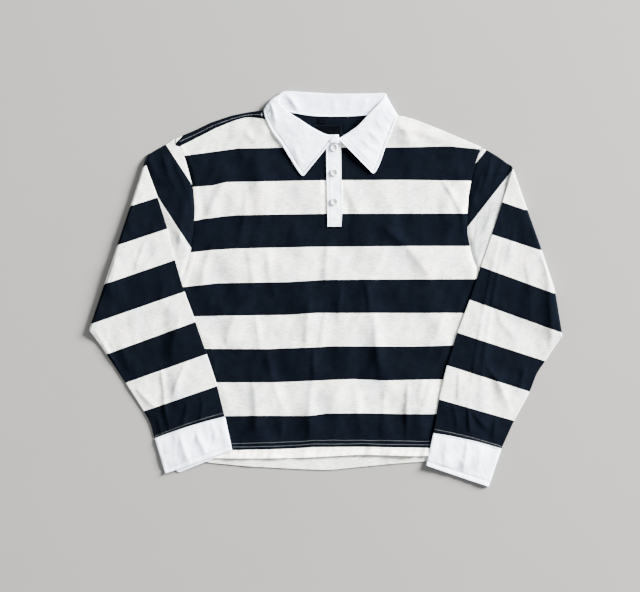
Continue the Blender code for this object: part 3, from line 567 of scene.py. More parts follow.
def crease_height(x, y, table):
    """Height of soft ridges that fade out at both ends."""
    height = np.zeros(np.shape(x))
    for x0, y0, x1, y1, bow, half_width, rise in table:
        length = np.hypot(x1 - x0, y1 - y0)
        run_x, run_y = (x1 - x0) / length, (y1 - y0) / length
        t = ((x - x0) * run_x + (y - y0) * run_y) / length
        away = (x - x0) * run_y - (y - y0) * run_x - bow * 4 * t * (1 - t)
        ends = ease(t, -0.12, 0.3) * fade(t, 0.7, 1.12)
        width = half_width * (0.75 + 0.5 * np.clip(t, 0, 1)) * np.where(away > 0, 0.8, 1.25)
        height += CREASE_RISE * rise * ends * np.exp(-np.abs(away / width) ** 1.4)
    return height


def stripe_count(distances):
    """Cloth coordinate across the stripes, from the signed distances past each stripe change."""
    count = (np.minimum(distances[0], 0) + np.maximum(distances[-1], 0)) / STRIPE
    for here, beyond in zip(distances, distances[1:]):
        count = count + np.clip(here / np.maximum(here - beyond, 1e-6), 0, 1)
    return count


# Heights of the body

def neck_rise(x, y):
    low, high = NECK_RISE_Y
    rise = NECK_RISE * np.clip((y - low) / (high - low), 0, 1)
    return rise * np.interp(x, NECK_RISE_X, (0, 1, 1, 0))


def forearm_clearance(x, y):
    """Distance of points of the front from the nearer forearm, negative under it."""
    right, left = (np.interp(y, *np.array(cut["inner"][::-1]).T[::-1]) for cut in SLEEVES.values())
    return np.minimum(x - right, left - x)


def side_distance(x, y):
    return np.minimum(x - look(SIDE_R, y), look(SIDE_L, y) - x)


def under_collar(x, y):
    """1 where the collar's leaf lies over the front."""
    return ease(y, *LEAF_Y) * fade(np.abs(x - MIDDLE), *LEAF_REACH)


def front_puff(x, y):
    """Height of the broad folds of the front."""
    height = np.zeros(np.shape(x))
    for fx, fy, half_width, half_length, lean, rise in FRONT_FOLDS:
        a = radians(lean)
        across = (x - fx) * cos(a) + (y - fy) * sin(a)
        length = -(x - fx) * sin(a) + (y - fy) * cos(a)
        height += rise * hump(across, half_width) * hump(length, half_length)
    ends = np.minimum(y - look(HEM_FRONT, x), look(TOP_FRONT, x) - y)
    room = ease(np.minimum(side_distance(x, y), ends), 4, FOLD_MARGIN + 14)
    room = room * ease(forearm_clearance(x, y), 2, FOLD_MARGIN)
    placket = ease(20 - abs(x - MIDDLE), 0, 12) * ease(y, 90, 120)
    return height * room * (1 - FOLD_BESIDE_PLACKET * placket) * (1 - under_collar(x, y))


def doubled_cloth(x, y):
    """1 where the front has a second layer behind it: placket facing, hem, seam edges."""
    left, right = FACING
    facing = ease(x, left - 1, left + 1) * fade(x, right - 1, right + 1) * ease(y, *FACING_FOOT)
    hem = fade(y - look(HEM_FRONT, x), *HEM_TURN)
    seam = fade(side_distance(x, y), SEAM_EDGE - 1, SEAM_EDGE + 1) * ease(y, *ARMHOLE_FOOT)
    return np.maximum(np.maximum(facing, hem), seam)


def front_rest(x, y):
    """Middle of the front's cloth where it has no fold or crease."""
    return FRONT_Z - FRONT_LOOSE + (1 + FRONT_SLACK) * neck_rise(x, y + FRONT_EARLY)


def front_height(x, y):
    """Middle of the front's cloth, with its folds, creases and puckered hem."""
    hem, side = y - look(HEM_FRONT, x), side_distance(x, y)
    flat = front_rest(x, y)
    placket = ease(PLACKET_CLEAR - np.abs(x - MIDDLE), 0, 10) * ease(y, *PLACKET_START)
    room = ease(forearm_clearance(x, y), *FOREARM_CLEAR) * (1 - PLACKET_FLAT * placket)
    room = room * (1 - LEAF_FLAT * under_collar(x, y)) * ease(side, 0, SIDE_FLAT)
    length, rise = HEM_PUCKERS
    pucker = noise((x - 0.4 * hem) / length, y / 40, 4) + 0.5 * noise(x / 23, y / 40, 6)
    pucker = rise * fade(hem, *PUCKER_END) * pucker
    lift = crease_height(x, y, FRONT_CREASES) * ease(hem, *HEM_CREASES) + pucker
    lift = lift + FRONT_LIFT + uneven(x, y, FRONT_UNEVEN)
    turned_up = DOUBLED_RISE * doubled_cloth(x, y) + HEM_RISE * fade(hem, *HEM_TURN)
    edge = HEM_LIFT * (1 + 0.6 * noise(x / 40, 0, 9))
    turned_up = turned_up + edge * fade(hem, 0, HEM_LIFT_END)
    height = flat + FRONT_LOOSE + front_puff(x, y) + lift * room + turned_up
    roll = SIDE_DROP * fade(side, 0, SIDE_ROLL) * fade(y, *SHOULDER_START)
    return np.maximum(height, flat) - roll * (side < SIDE_ROLL)


def back_height(x, y):
    """Middle of the back's cloth, which follows the front's creases a little."""
    hem = y - look(HEM_BACK, x)
    over = np.maximum(front_height(x, y) - front_rest(x, y), 0)
    pucker = np.maximum(uneven(x, y, BACK_UNEVEN) * fade(hem, *BACK_PUCKER_END), 0)
    return (BACK_Z + neck_rise(x, y) + pucker + BACK_HEM_RISE * fade(hem, *BACK_HEM_TURN)
            + BACK_SHARE * over * ease(hem, 20, 50))


def body_stripes(x, y):
    """Stripe coordinate of the front: an even whole part is navy."""
    return stripe_count([np.interp(x, *np.array(line).T) - y for line in STRIPE_LINES])


def shoulder_tip(points):
    """Stripe coordinate past the last stripe change of the back, at the right shoulder's corner."""
    (x0, y0), (x1, y1) = SHOULDER_TIP
    length = np.hypot(x1 - x0, y1 - y0)
    beyond = (points[..., 1] - y0) * (x1 - x0) - (points[..., 0] - x0) * (y1 - y0)
    return np.where(points[..., 1] > 200, -beyond / length / STRIPE, 99.0)


def cloth_coordinates(x, stripes, tone_and_painted_light=0.0):
    return np.stack([x / STRIPE, stripes, tone_and_painted_light + np.zeros(np.shape(x))], axis=-1)


def panel_grid(hem, top, height, columns, rows):
    """Points of a body panel, from its hem to its top edge."""
    s = np.linspace(0, 1, columns)

    def across(y):
        return look(SIDE_R, y) * (1 - s) + look(SIDE_L, y) * s

    edges = []
    for edge in (hem, top):
        y = np.full(columns, edge[1].mean())
        for _ in range(40):
            y = 0.5 * (y + look(edge, across(y)))
        edges.append(y)
    t = np.concatenate([np.linspace(0, HEM_PART, HEM_ROWS)[:-1],
                        np.linspace(HEM_PART, 1, rows - HEM_ROWS + 1)])[:, None]
    y = edges[0] * (1 - t) + edges[1] * t
    x = across(y)
    return np.stack([x, y, height(x, y)], axis=-1)


def wrapped_strip(edge, ends, radius, rising):
    """Rows that roll over a shoulder edge and run to its seam on the other side."""
    outward = edge_normals(edge[:, :2], (MIDDLE, 0))
    side = 1 if rising else -1
    rows = []
    for a in np.radians(np.linspace(0, 180, WRAP_ROWS)):
        plan = edge[:, :2] + outward * radius * sin(a)
        level = np.maximum(edge[:, 2] + side * radius * (1 - cos(a)), BACK_Z)
        rows.append(np.column_stack([plan, level]))
    last = rows[-1]
    for share in np.linspace(0, 1, STRIP_ROWS)[1:]:
        row = last * (1 - share) + ends * share
        row[:, 2] = np.maximum(row[:, 2] + side * STRIP_BOW * sin(pi * share), BACK_Z)
        rows.append(row)
    return np.array(rows)


def body_outline():
    right = [(x, y) for y, x in RIGHT_SIDE if BODY_FOOT < y < SHOULDER_RIGHT_Y]
    left = [(x, y) for y, x in LEFT_SIDE if BODY_FOOT < y < SHOULDER_LEFT_Y]
    return right + list(BACK_TOP[1:-1]) + left[::-1] + list(BACK_HEM[::-1])


def carried_height(x, y, outlines):
    """Height at which a forearm lies: on two layers of cloth, or down on the floor."""
    away = np.min([distance_outside(x, y, outline) for outline in outlines], axis=0)
    return -STACK * ease(away, DROP_START, DROP_END)


# Sleeves and cuffs

def ring_layout(across, low, high):
    """Place across, height and outward reach of each point round a flattened tube."""
    q = np.linspace(0, 1, across)
    turn = np.radians(np.linspace(0, 180, 9)[1:-1])
    middle, radius = (low + high) / 2, (high - low) / 2
    rise, out, flat = radius * np.cos(turn), radius * np.sin(turn), np.full(across, 1.0)
    places = np.concatenate([q, np.ones(7), q[::-1], np.zeros(7), [0.0]])
    heights = np.concatenate([flat * high, middle + rise, flat * low, middle - rise, [high]])
    return places, heights, np.concatenate([flat * 0, out, flat * 0, out, [0.0]])


def sleeve_grid(name):
    """Points and cloth coordinates round a sleeve, from its armhole to its cuff seam."""
    cut = SLEEVES[name]
    q, h, reach = ring_layout(SLEEVE_ACROSS, BACK_Z, FRONT_Z)
    outer_side = (q >= 0.5)[:, None]
    inset = TURN_R + JERSEY / 2
    armpit = np.array(cut["armpit"], float)
    middle = np.mean([cut["shoulder"][0], *armpit], axis=0)
    low_middle = np.mean([cut[key][end] for key in ("inner", "outer") for end in (0, -1)], axis=0)
    fold_line, turned_line = rounded(cut["fold"], 8), rounded(cut["turned"], 8)
    fold, turned = along(fold_line, q), along(turned_line, q)
    direction, changes = cut["head"]
    bands = np.array(cut["bands"], float)
    rows = []               # plan, height, stripe, share of the upper layer and width of each row

    def off_straight(line, end):
        return line - (line[0] + np.outer(q, end - line[0]))

    def flat_row(lines, outs, k, tuck, bend):
        a, b = (line[k] - out[k] * tuck for line, out in zip(lines, outs))
        facing = np.where(outer_side, outs[1][k], outs[0][k])
        return a + np.outer(q, b - a) + bend + facing * reach[:, None], np.linalg.norm(b - a)

    def head_stripes(plan):
        return np.interp(plan @ np.array(direction), changes, np.arange(-3, 4))

    def band_stripes(plan):
        distances = []
        for inner_end, outer_end in bands:
            run_x, run_y = unit(outer_end - inner_end)
            across = np.array([run_y, -run_x])
            distances.append((plan - inner_end) @ (across if across[1] < 0 else -across))
        return np.minimum(stripe_count(distances), LAST_BAND)

    shares = np.linspace(0, 1, UPPER_ROWS)
    lines = [along(rounded(cut[key]), shares) for key in ("shoulder", "armpit")]
    outs = [edge_normals(line, middle) for line in lines]
    off = np.sign(cut["side"][0][1]) * ARMHOLE_GAP
    side = softened(cut["side"], SIDE_BLUR)
    seam = [(look(side, y) + off, y) for y in np.linspace(*cut["armhole"], 80)]
    armhole = along([cut["shoulder"][0], *seam, cut["armpit"][0]], q)
    bow, fold_bow = off_straight(armhole, armpit[0]), off_straight(fold, fold_line[-1])
    for k, u in enumerate(shares):
        tuck = inset * min(1, 4 * u) * fade(u, 0.85, 1)
        bend = bow * fade(u, 0, 0.85) + fold_bow * ease(u, 0.5, 1)
        plan, width = flat_row(lines, outs, k, tuck, bend)
        rows.append((plan, h, head_stripes(plan), (h - BACK_Z) / LAYER, width))

    spread = np.linspace(0, 1, 101)
    dense = along(fold_line, spread)
    run = np.gradient(dense, axis=0)
    run /= np.linalg.norm(run, axis=1)[:, None]
    out_at, run_at = (table_at(q, spread, c) for c in (edge_normals(dense, middle), run))
    edge_out = np.where(outer_side, outs[1][-1], outs[0][-1])
    end, end_out = (np.where(outer_side, c[q.argmax()], c[0]) for c in (run_at, out_at))
    ahead, aside = ((edge_out * c).sum(axis=1) for c in (end, end_out))
    radius = FOLD_Z - h
    for a in np.radians(np.linspace(0, 180, ROLL_ROWS)[1:-1]):
        slide = (1 - cos(a)) / 2
        base = fold + (turned - fold) * slide
        plan = base + out_at * (radius * sin(a))[:, None]
        plan = plan + reach[:, None] * (end * ahead[:, None] + out_at * (aside * cos(a))[:, None])
        rows.append((plan, FOLD_Z - radius * cos(a) + reach * aside * sin(a),
                     head_stripes(base) * (1 - slide) + band_stripes(base) * slide,
                     slide * (FRONT_Z - h) / LAYER, width))

    upper_count = len(rows)
    shares = np.linspace(0, 1, FOREARM_ROWS)
    lines = [along(rounded(cut[key], 8), shares) for key in ("inner", "outer")]
    outs = [edge_normals(line, low_middle) for line in lines]
    turned_bow = off_straight(turned, turned_line[-1])
    seam_bow = np.outer(CUFF_SEAM_BOW * 4 * q * (1 - q), (0, 1))
    flat_z = FRONT_Z + LAYER / 2
    outlines = [body_outline(), [cut["armpit"][0], *cut["shoulder"], *cut["fold"][1:]]]
    for k, w in enumerate(shares):
        bend = turned_bow * fade(w, 0, 0.06) + seam_bow * ease(w, 0.85, 1)
        plan, width = flat_row(lines, outs, k, inset * min(1, 8 * w), bend)
        away = np.min(np.linalg.norm(turned_line[None, ::4] - plan[:, None], axis=2), axis=1)
        centre = flat_z + (FOLD_Z - flat_z) * hump(away, FOLD_REACH)
        rows.append((plan, 2 * centre - h + carried_height(*plan.T, outlines),
                     band_stripes(plan), (FRONT_Z - h) / LAYER, width))

    plan, level, stripes, tops, widths = (np.array(column) for column in zip(*rows))
    x, y = plan[..., 0], plan[..., 1]
    row = np.arange(len(plan))[:, None]
    forearm = row >= upper_count
    creases = (crease_height(x, y, cut[key]) for key in ("creases", "upper_creases"))
    lift = np.where(forearm, *creases)
    seed = cut["seed"]
    lift = lift + uneven(x, y, ((0, 28, 60, seed, 0.9), (0, 14, 24, seed + 1, 0.55)))
    gathers = noise(x / 12, y / 45, seed + 2) * ease(row / row[-1], 0.9, 1.0)
    lift = lift + SLEEVE_GATHERS * gathers + SLEEVE_PUFF * (1 - np.abs(2 * q - 1) ** 4)
    level = level + tops * ease(row, 0, 4) * np.maximum(lift, 0)
    level = level - ARMHOLE_SINK * tops * fade(row, 0, 2.5)
    level = level + crease_height(x, y, cut["raised"]) * np.where(forearm, 1, tops)
    # Painted shade: the upper part is painted darker and cooler beside the folded forearm, where
    # the forearm's shade falls; it goes into the jersey as a negative third cloth coordinate.
    painted_forearm_shade = -cut["painted_forearm_shade"] * (1 - forearm) * fade(y, *PAINTED_SHADE_Y)
    wale = q * widths[:, None] / STRIPE
    return np.dstack([plan, level]), np.dstack([wale, stripes, painted_forearm_shade])


def cuff_sewing(name):
    """Length of a cuff from seam to edge, and how far down it its two rows of stitches lie."""
    length = np.linalg.norm(np.subtract(CUFFS[name]["edge"][0], CUFFS[name]["seam"][0]))
    return length, (CUFF_STITCHES[0], length - CUFF_STITCHES[1])


def cuff_grid(name):
    """Points round a flattened cuff of folded cloth."""
    cut = CUFFS[name]
    seam, edge = np.array(cut["seam"], float), np.array(cut["edge"], float)
    across = unit(seam[1] - seam[0])
    down = unit(edge.mean(axis=0) - seam.mean(axis=0))
    radius = (WOVEN + GAP) / 2
    low = STACK + WOVEN / 2 + GAP / 2
    q, h, reach = ring_layout(CUFF_ACROSS, low, low + 2 * radius)
    lower = (h - low) / (2 * radius)
    length, sewing = cuff_sewing(name)
    bulge = (0.3 + 0.85 * q) * fade(q, 0.8, 0.86)
    peek = cut["peek"] * bulge
    rows, groove_and_edge_shade = [], []
    for w in np.linspace(0, 1, CUFF_ROWS):
        ends = seam + (edge - seam) * w + np.array([across, -across]) * (radius + WOVEN / 2)
        plan = ends[0] + np.outer(q, ends[1] - ends[0])
        plan = plan + np.where(q >= 0.5, 1, -1)[:, None] * across * reach[:, None]
        plan = plan + down * (peek * w * (1 - lower))[:, None]
        plan[:, 1] += CUFF_SEAM_BOW * 4 * q * (1 - q) * fade(w, 0, 0.6)
        x, y = plan.T
        sewn = max(hump(w * length - line, 1.4) for line in sewing)
        ridge = crease_height(x, y, cut["creases"]) + uneven(x, y, CUFF_UNEVEN)
        ridge = ridge + 0.5 * noise(x / 9, y / 60, 29) * fade(w, 0, 0.35)
        ridge = ridge + CUFF_LIFT - CUFF_SINK * sewn + CUFF_RIM * ease(w, 0.88, 1)
        level = h + lower * np.maximum(ridge, -0.5) * ease(-reach, -radius, 0)
        rows.append(np.column_stack([plan, level + carried_height(x, y, [body_outline()])]))
        # Painted shade: the upper layer's stitch lines are darker for the shade in their grooves,
        # and the under layer just past the upper layer's edge for its shadow.
        shade = hump(w * (length + peek) - length - 0.7, 0.9) * np.minimum(peek, 1)
        groove_and_edge_shade.append(sewn * lower - shade * (1 - lower))
    wale, rise = np.meshgrid(q * np.linalg.norm(seam[1] - seam[0]) / STRIPE,
                             np.linspace(0, 1, CUFF_ROWS) * length / STRIPE)
    return np.array(rows), np.dstack([wale, rise, groove_and_edge_shade])


# Collar, placket and labels

def collar_section(seam, roll, edge, tilt, belly):
    """Points of one cut through the collar, from the neck seam to the free edge."""
    seam, roll, edge = (np.array(p, float) for p in (seam, roll, edge))
    neck_side = -1 if roll[0] < MIDDLE else 1
    ahead = np.append(unit((roll - seam)[:2]), 0)
    fall = np.append((edge - roll)[:2], 0)
    side = fall - ahead * fall.dot(ahead)
    side = unit(side) if np.linalg.norm(side) > 1 else np.array((neck_side, 0, 0), float)
    t = radians(tilt)
    over = side * cos(t) + np.array((0, 0, 1)) * sin(t)
    centre = roll - ahead * COLLAR_ROLL_R
    arc = [centre + COLLAR_ROLL_R * (ahead * cos(a) + over * sin(a))
           for a in np.radians(COLLAR_ARC)]
    points = [seam, (seam + arc[0]) / 2] + arc
    start = arc[-1]
    outward = unit(np.array((fall[1], -fall[0], 0)))
    if outward[0] * neck_side < 0:
        outward = -outward
    for f in COLLAR_LEAF:
        point = start + (edge - start) * f
        point[2] = start[2] + (edge[2] - start[2]) * f ** 1.6
        points.append(point + outward * belly * 4 * f * (1 - f))
    return points


def catmull(control, counts):
    """Smooth rows through the control rows, and where each lies among them."""
    ends = [2 * control[0] - control[1]], [2 * control[-1] - control[-2]]
    rows = np.concatenate([ends[0], control, ends[1]])
    made, places = [], []
    for i, count in enumerate(counts):
        p0, p1, p2, p3 = rows[i:i + 4]
        for t in np.arange(count) / count:
            made.append(0.5 * (2 * p1 + (p2 - p0) * t + (2 * p0 - 5 * p1 + 4 * p2 - p3) * t ** 2
                               + (3 * p1 - p0 - 3 * p2 + p3) * t ** 3))
            places.append(i + t)
    return np.array(made + [rows[-2]]), np.array(places + [len(counts)])


def rounded_tips(points, from_end, from_edge):
    """Points of the collar with the two corners of its leaf rounded."""
    i, j = np.indices(from_edge.shape)
    end, edge = COLLAR_TIP_R - from_end, COLLAR_TIP_R - from_edge
    corner = (end > 0) & (edge > 0) & (2 * j > points.shape[1])
    pull = 1 - np.maximum(end, edge) / np.maximum(np.hypot(end, edge), 1e-6)
    inward = np.where(2 * i < len(points), 1, -1) * COLLAR_ALONG / COLLAR_STATION
    moved = at(points, i + inward * end * pull, j - edge * pull / from_edge[:, -2:-1])
    return np.where(corner[..., None], moved, points)


def collar_grid():
    """Points of the collar: stations along it, the stand and the leaf across it."""
    cuts = np.array([collar_section(*station) for station in COLLAR])
    rows, station = catmull(cuts, [COLLAR_ALONG] * (len(COLLAR) - 1))
    points, place = catmull(rows.transpose(1, 0, 2), COLLAR_ACROSS)
    points = points.transpose(1, 0, 2)
    x, y = points[..., 0], points[..., 1]
    station = station[:, None]
    from_edge = run_length(points[:, ::-1], 1)[:, ::-1]
    from_end = np.minimum(station, len(COLLAR) - 1 - station) * COLLAR_STATION + 0 * from_edge
    near = np.where(place > COLLAR_FIRST_LEAF - 1, np.minimum(from_edge, from_end), 99)
    lift = crease_height(x, y, COLLAR_CREASES) + uneven(x, y, COLLAR_UNEVEN) + COLLAR_LIFT
    lift = np.maximum(lift, 0) * (1 - 0.8 * hump(place - 4, 1.1)) * (0.4 + 0.6 * ease(near, 5, 12))
    sewn = hump(near - COLLAR_EDGE_STITCH, 1.3)
    stand = hump((place - COLLAR_STAND_STITCH) * COLLAR_STATION, 1.5) + 0 * near
    pucker = noise(station * COLLAR_STATION / 3.4, near / 14, 37) * fade(near, 10, 24)
    rim = sum(rise * fade(near, low, high) for rise, low, high in COLLAR_RIM)
    points[..., 2] += lift + rim + COLLAR_PUCKER * pucker
    points[..., 2] -= COLLAR_SINK[0] * sewn + COLLAR_SINK[1] * stand
    points[..., 2] = np.maximum(points[..., 2], WOVEN / 2)
    points = rounded_tips(points, from_end, from_edge)
    # Painted shade: the stand is painted greyer for the shade inside the collar's roll, and the
    # stitch lines darker for the shade in their grooves.
    painted_shade = ease(place, 0.45, 0.7) * fade(place, 3.2, 3.8)
    cloth = [run_length(points[:, 0])[:, None] / STRIPE + 0 * near, run_length(points, 1) / STRIPE,
             np.maximum(sewn, stand) - 0.7 * painted_shade]
    return points, np.dstack(cloth)


def band_end_grid():
    """End of the neck band, rolled over above the top button."""
    line = catmull(np.array(BAND_END, float), [6] * (len(BAND_END) - 1))[0]
    y, z, middle, half = (line[:, k:k + 1] for k in range(4))
    s = np.linspace(-1, 1, 26)
    x = middle + half * s
    z = z - 1.1 * np.abs(s) ** 4 + 0.35 * noise(x / 4.5, y / 7, 73)
    y = y + 0.9 * s ** 4 + 0.4 * noise(x / 6, y / 6, 71)
    return np.dstack([x, y, z]), np.dstack([x, y, z * 0]) / STRIPE


def placket_grid():
    """Strip on the front: the front's own points, moved out."""
    table = np.array(PLACKET[::-1], float)
    s = np.linspace(0, 1, 34)
    places = np.linspace(table[0, 0], table[-1, 0], 150)
    y, left, right = table_at(places, table[:, 0], table).T[..., None]
    x = left * (1 - s) + right * s
    y = y + 0 * x
    box = np.minimum(*(np.abs(y - table[0, 0] - row) for row in PLACKET_BOX))
    sides = np.abs(np.minimum(s, 1 - s) * (right - left) - PLACKET_EDGE_STITCH)
    sewn = hump(np.minimum(sides, box), 1.0)
    quilt = PLACKET_QUILT + uneven(x, y, PLACKET_UNEVEN) - PLACKET_SINK * sewn
    z = front_height(x, y) + PLACKET_LIFT + np.maximum(quilt, 0)
    # The stitch lines are painted darker in the collar twill: painted shade in their grooves.
    return np.dstack([x, y, z]), np.dstack([x / STRIPE, y / STRIPE, sewn])


# Meshes

def new_piece(name, data):
    """Object in the scene for a mesh, a light or a camera."""
    piece = bpy.data.objects.new(name, data)
    bpy.context.scene.collection.objects.link(piece)
    return piece


def cloth_mesh(name, grids, finish, wall):
    """Piece of cloth with a wall, from grids of points and their cloth coordinates."""
    verts, faces, coordinates, start = [], [], [], 0
    for points, cloth in grids:
        rows, columns = points.shape[:2]
        corner = start + np.arange(rows - 1)[:, None] * columns + np.arange(columns - 1)
        quads = np.stack([corner, corner + 1, corner + columns + 1, corner + columns], axis=-1)
        verts.append(points.reshape(-1, 3) * MM)
        coordinates.append(cloth.reshape(-1, 3))
        faces.append(quads.reshape(-1, 4))
        start += rows * columns
    mesh = bpy.data.meshes.new(name)
    mesh.from_pydata(np.vstack(verts).tolist(), [], np.vstack(faces).tolist())
    attribute = mesh.attributes.new("cloth", "FLOAT_VECTOR", "POINT")
    attribute.data.foreach_set("vector", np.vstack(coordinates).astype(np.float32).ravel())
    shape = bmesh.new()
    shape.from_mesh(mesh)
    bmesh.ops.remove_doubles(shape, verts=shape.verts, dist=0.00002)
    bmesh.ops.recalc_face_normals(shape, faces=shape.faces)
    shape.to_mesh(mesh)
    shape.free()
    mesh.materials.append(materials()[finish])
    mesh.shade_smooth()
    piece = new_piece(name, mesh)
    solid = piece.modifiers.new("wall", "SOLIDIFY")
    solid.thickness = wall
    solid.offset = 0.0
    solid.use_even_offset = False
    solid.use_quality_normals = True
    set_mesh(piece)
    piece.data.set_sharp_from_angle(angle=radians(55))
    return piece


def set_mesh(piece):
    """Turns what the modifiers of a piece make into its plain mesh."""
    bpy.context.view_layer.update()
    made = piece.evaluated_get(bpy.context.evaluated_depsgraph_get())
    mesh = bpy.data.meshes.new_from_object(made)
    old = piece.data
    piece.modifiers.clear()
    piece.data = mesh
    mesh.name = piece.name
    if old.users == 0:
        bpy.data.meshes.remove(old)


def dress(piece, slot, *nodes):
    """The piece rides on the shirt and stands for its nodes, which it hides. The slot is not used.
    """
    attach(piece, "root")
    if nodes:
        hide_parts(*nodes)
    return piece


def at(grid, i, j):
    """Points of a grid at fractional row and column places."""
    i, j = np.broadcast_arrays(np.asarray(i, float), np.asarray(j, float))
    i, j = (np.clip(place, 0, count - 1.001) for place, count in zip((i, j), grid.shape))
    i0, j0 = i.astype(int), j.astype(int)
    a, b = (i - i0)[..., None], (j - j0)[..., None]
    low = grid[i0, j0] * (1 - b) + grid[i0, j0 + 1] * b
    high = grid[i0 + 1, j0] * (1 - b) + grid[i0 + 1, j0 + 1] * b
    return low * (1 - a) + high * a


def on_surface(grid, i, j, lift):
    """Line on a grid, moved out along its normals."""
    i, j = np.broadcast_arrays(np.asarray(i, float), np.asarray(j, float))
    step = 0.6
    normal = np.cross(at(grid, i + step, j) - at(grid, i - step, j),
                      at(grid, i, j + step) - at(grid, i, j - step))
    normal /= np.maximum(np.linalg.norm(normal, axis=-1), 1e-9)[..., None]
    return at(grid, i, j) + normal * lift


# Nodes

class Value:
    """Output of a node, for sums that are written as plain sums."""

    def __init__(self, node, output=0):
        self.tree, self.socket = node.id_data, node.outputs[output]

    def __add__(self, other):
        return sums("ADD", self, other)

    def __sub__(self, other):
        return sums("SUBTRACT", self, other)

    def __rsub__(self, other):
        return sums("SUBTRACT", other, self)

    def __mul__(self, other):
        return sums("MULTIPLY", self, other)

    __radd__, __rmul__ = __add__, __mul__


def feed(node, inputs):
    """Links values to a node's inputs, and sets plain numbers and colours."""
    for key, value in inputs.items():
        if isinstance(value, Value):
            node.id_data.links.new(value.socket, node.inputs[key])
        else:
            node.inputs[key].default_value = value
    return node


def put(tree, kind, inputs=None, **settings):
    """New node with its settings and inputs."""
    node = tree.nodes.new(kind)
    for key, value in settings.items():
        setattr(node, key, value)
    return feed(node, inputs or {})


def sums(operation, *values, clamp=False):
    tree = next(value.tree for value in values if isinstance(value, Value))
    return Value(put(tree, "ShaderNodeMath", dict(enumerate(values)), operation=operation,
                     use_clamp=clamp))


def blend(tree, share, first, second, mode="MIX"):
    node = put(tree, "ShaderNodeMix", {0: share, 6: first, 7: second}, data_type="RGBA",
               blend_type=mode)
    return Value(node, 2)


def shaded(shade, colour):
    """Colour times a shade that changes over the surface."""
    grey = Value(put(shade.tree, "ShaderNodeCombineColor", {0: shade, 1: shade, 2: shade}))
    return blend(shade.tree, 1.0, colour, grey, "MULTIPLY")


def split(vector):
    node = put(vector.tree, "ShaderNodeSeparateXYZ", {"Vector": vector})
    return [Value(node, axis) for axis in "XYZ"]


def clouds(vector, scale, detail, distortion=0.0):
    return Value(put(vector.tree, "ShaderNodeTexNoise", {
        "Vector": vector, "Scale": scale, "Detail": detail, "Distortion": distortion}))


def stretched(value, low, high, top=1.0):
    """A value's range from low to high, spread over 0 to top."""
    return Value(put(value.tree, "ShaderNodeMapRange", {
        "Value": value, "From Min": low, "From Max": high, "To Max": top}))


def rgba(colour, tint=(1, 1, 1)):
    return *(c * t for c, t in zip(colour, tint)), 1


def new_group(name, tree_kind, inputs, outputs):
    """Empty node group with named sockets: its inputs' values, and its output node."""
    group = bpy.data.node_groups.new(name, tree_kind)
    for label, kind, default in inputs:
        socket = group.interface.new_socket(label, in_out="INPUT", socket_type="NodeSocket" + kind)
        if default is not None:
            socket.default_value = default
    for label, kind in outputs:
        group.interface.new_socket(label, in_out="OUTPUT", socket_type="NodeSocket" + kind)
    given = put(group, "NodeGroupInput")
    return [Value(given, label) for label, *_ in inputs], put(group, "NodeGroupOutput")


def use_group(name, cloth, outputs, **inputs):
    node = put(cloth.tree, "ShaderNodeGroup", {"Cloth": cloth, **inputs},
               node_tree=bpy.data.node_groups[name])
    return [Value(node, label) for label in outputs]


# Materials

def knit_group():
    """Face of a fine jersey: columns of small V loops."""
    (cloth, wales, courses), out = new_group(
        "jersey loops", "ShaderNodeTree",
        (("Cloth", "Vector", None), ("Wales", "Float", 52.0), ("Courses", "Float", 68.0)),
        (("Height", "Float"), ("Gap", "Float")))
    x, y, _ = split(cloth)
    across = sums("ABSOLUTE", sums("FRACT", x * wales) - 0.5)
    leg = sums("SINE", sums("FRACT", y * courses + across) * pi)
    height = leg * (sums("SINE", across * (2 * pi)) * 0.7 + 0.3)
    # The second output is highest where the loops dip, for painted shade between them.
    feed(out, {"Height": height, "Gap": 1.0 - height})


def weave_group():
    """Fine twill of a woven collar cloth: slanted ribs over crossing threads."""
    (cloth, threads), out = new_group(
        "collar twill", "ShaderNodeTree",
        (("Cloth", "Vector", None), ("Threads", "Float", 90.0)), (("Height", "Float"),))
    x, y, _ = split(cloth)
    weft = y * threads
    rib = sums("SINE", (x * threads + weft) * (2 * pi))
    thread = sums("SINE", weft * (4 * pi))
    feed(out, {"Height": rib * 0.35 + thread * 0.15 + 0.5})


def mottle_group():
    """Uneven shade of washed cotton: yarn streaks and soft patches, round 1."""
    (cloth, streaks, patches), out = new_group(
        "washed cotton", "ShaderNodeTree",
        (("Cloth", "Vector", None), ("Streaks", "Float", 0.06), ("Patches", "Float", 0.05)),
        (("Shade", "Float"), ("Fuzz", "Float")))
    yarn = Value(put(cloth.tree, "ShaderNodeVectorMath", {0: cloth, 1: YARN},
                     operation="MULTIPLY"))
    speck = clouds(cloth, scale=19.0, detail=3.0)
    fine = (clouds(yarn, scale=1.0, detail=2.0) + speck - 1.0) * streaks
    broad = (clouds(cloth, scale=2.6, detail=5.0) - 0.5) * patches
    feed(out, {"Shade": 1.0 + fine + broad, "Fuzz": speck})


def new_material(name, roughness, sheen=0.0, specular=0.03):
    """Principled node of a new material."""
    material = bpy.data.materials.new(name)
    material.use_nodes = True
    shader = feed(material.node_tree.nodes["Principled BSDF"],
                  {"Roughness": roughness, "Specular IOR Level": specular})
    return feed(shader, {"Sheen Weight": sheen, "Sheen Roughness": 0.45} if sheen else {})


def cloth_of(shader):
    """The cloth coordinates of the pieces, whole and split."""
    cloth = Value(put(shader.id_data, "ShaderNodeAttribute", attribute_name="cloth"), "Vector")
    return cloth, *split(cloth)


def place_of(shader):
    return Value(put(shader.id_data, "ShaderNodeTexCoord"), "Object")


def bumped(height, distance, strength):
    return Value(put(height.tree, "ShaderNodeBump", {
        "Height": height, "Distance": distance, "Strength": strength}))


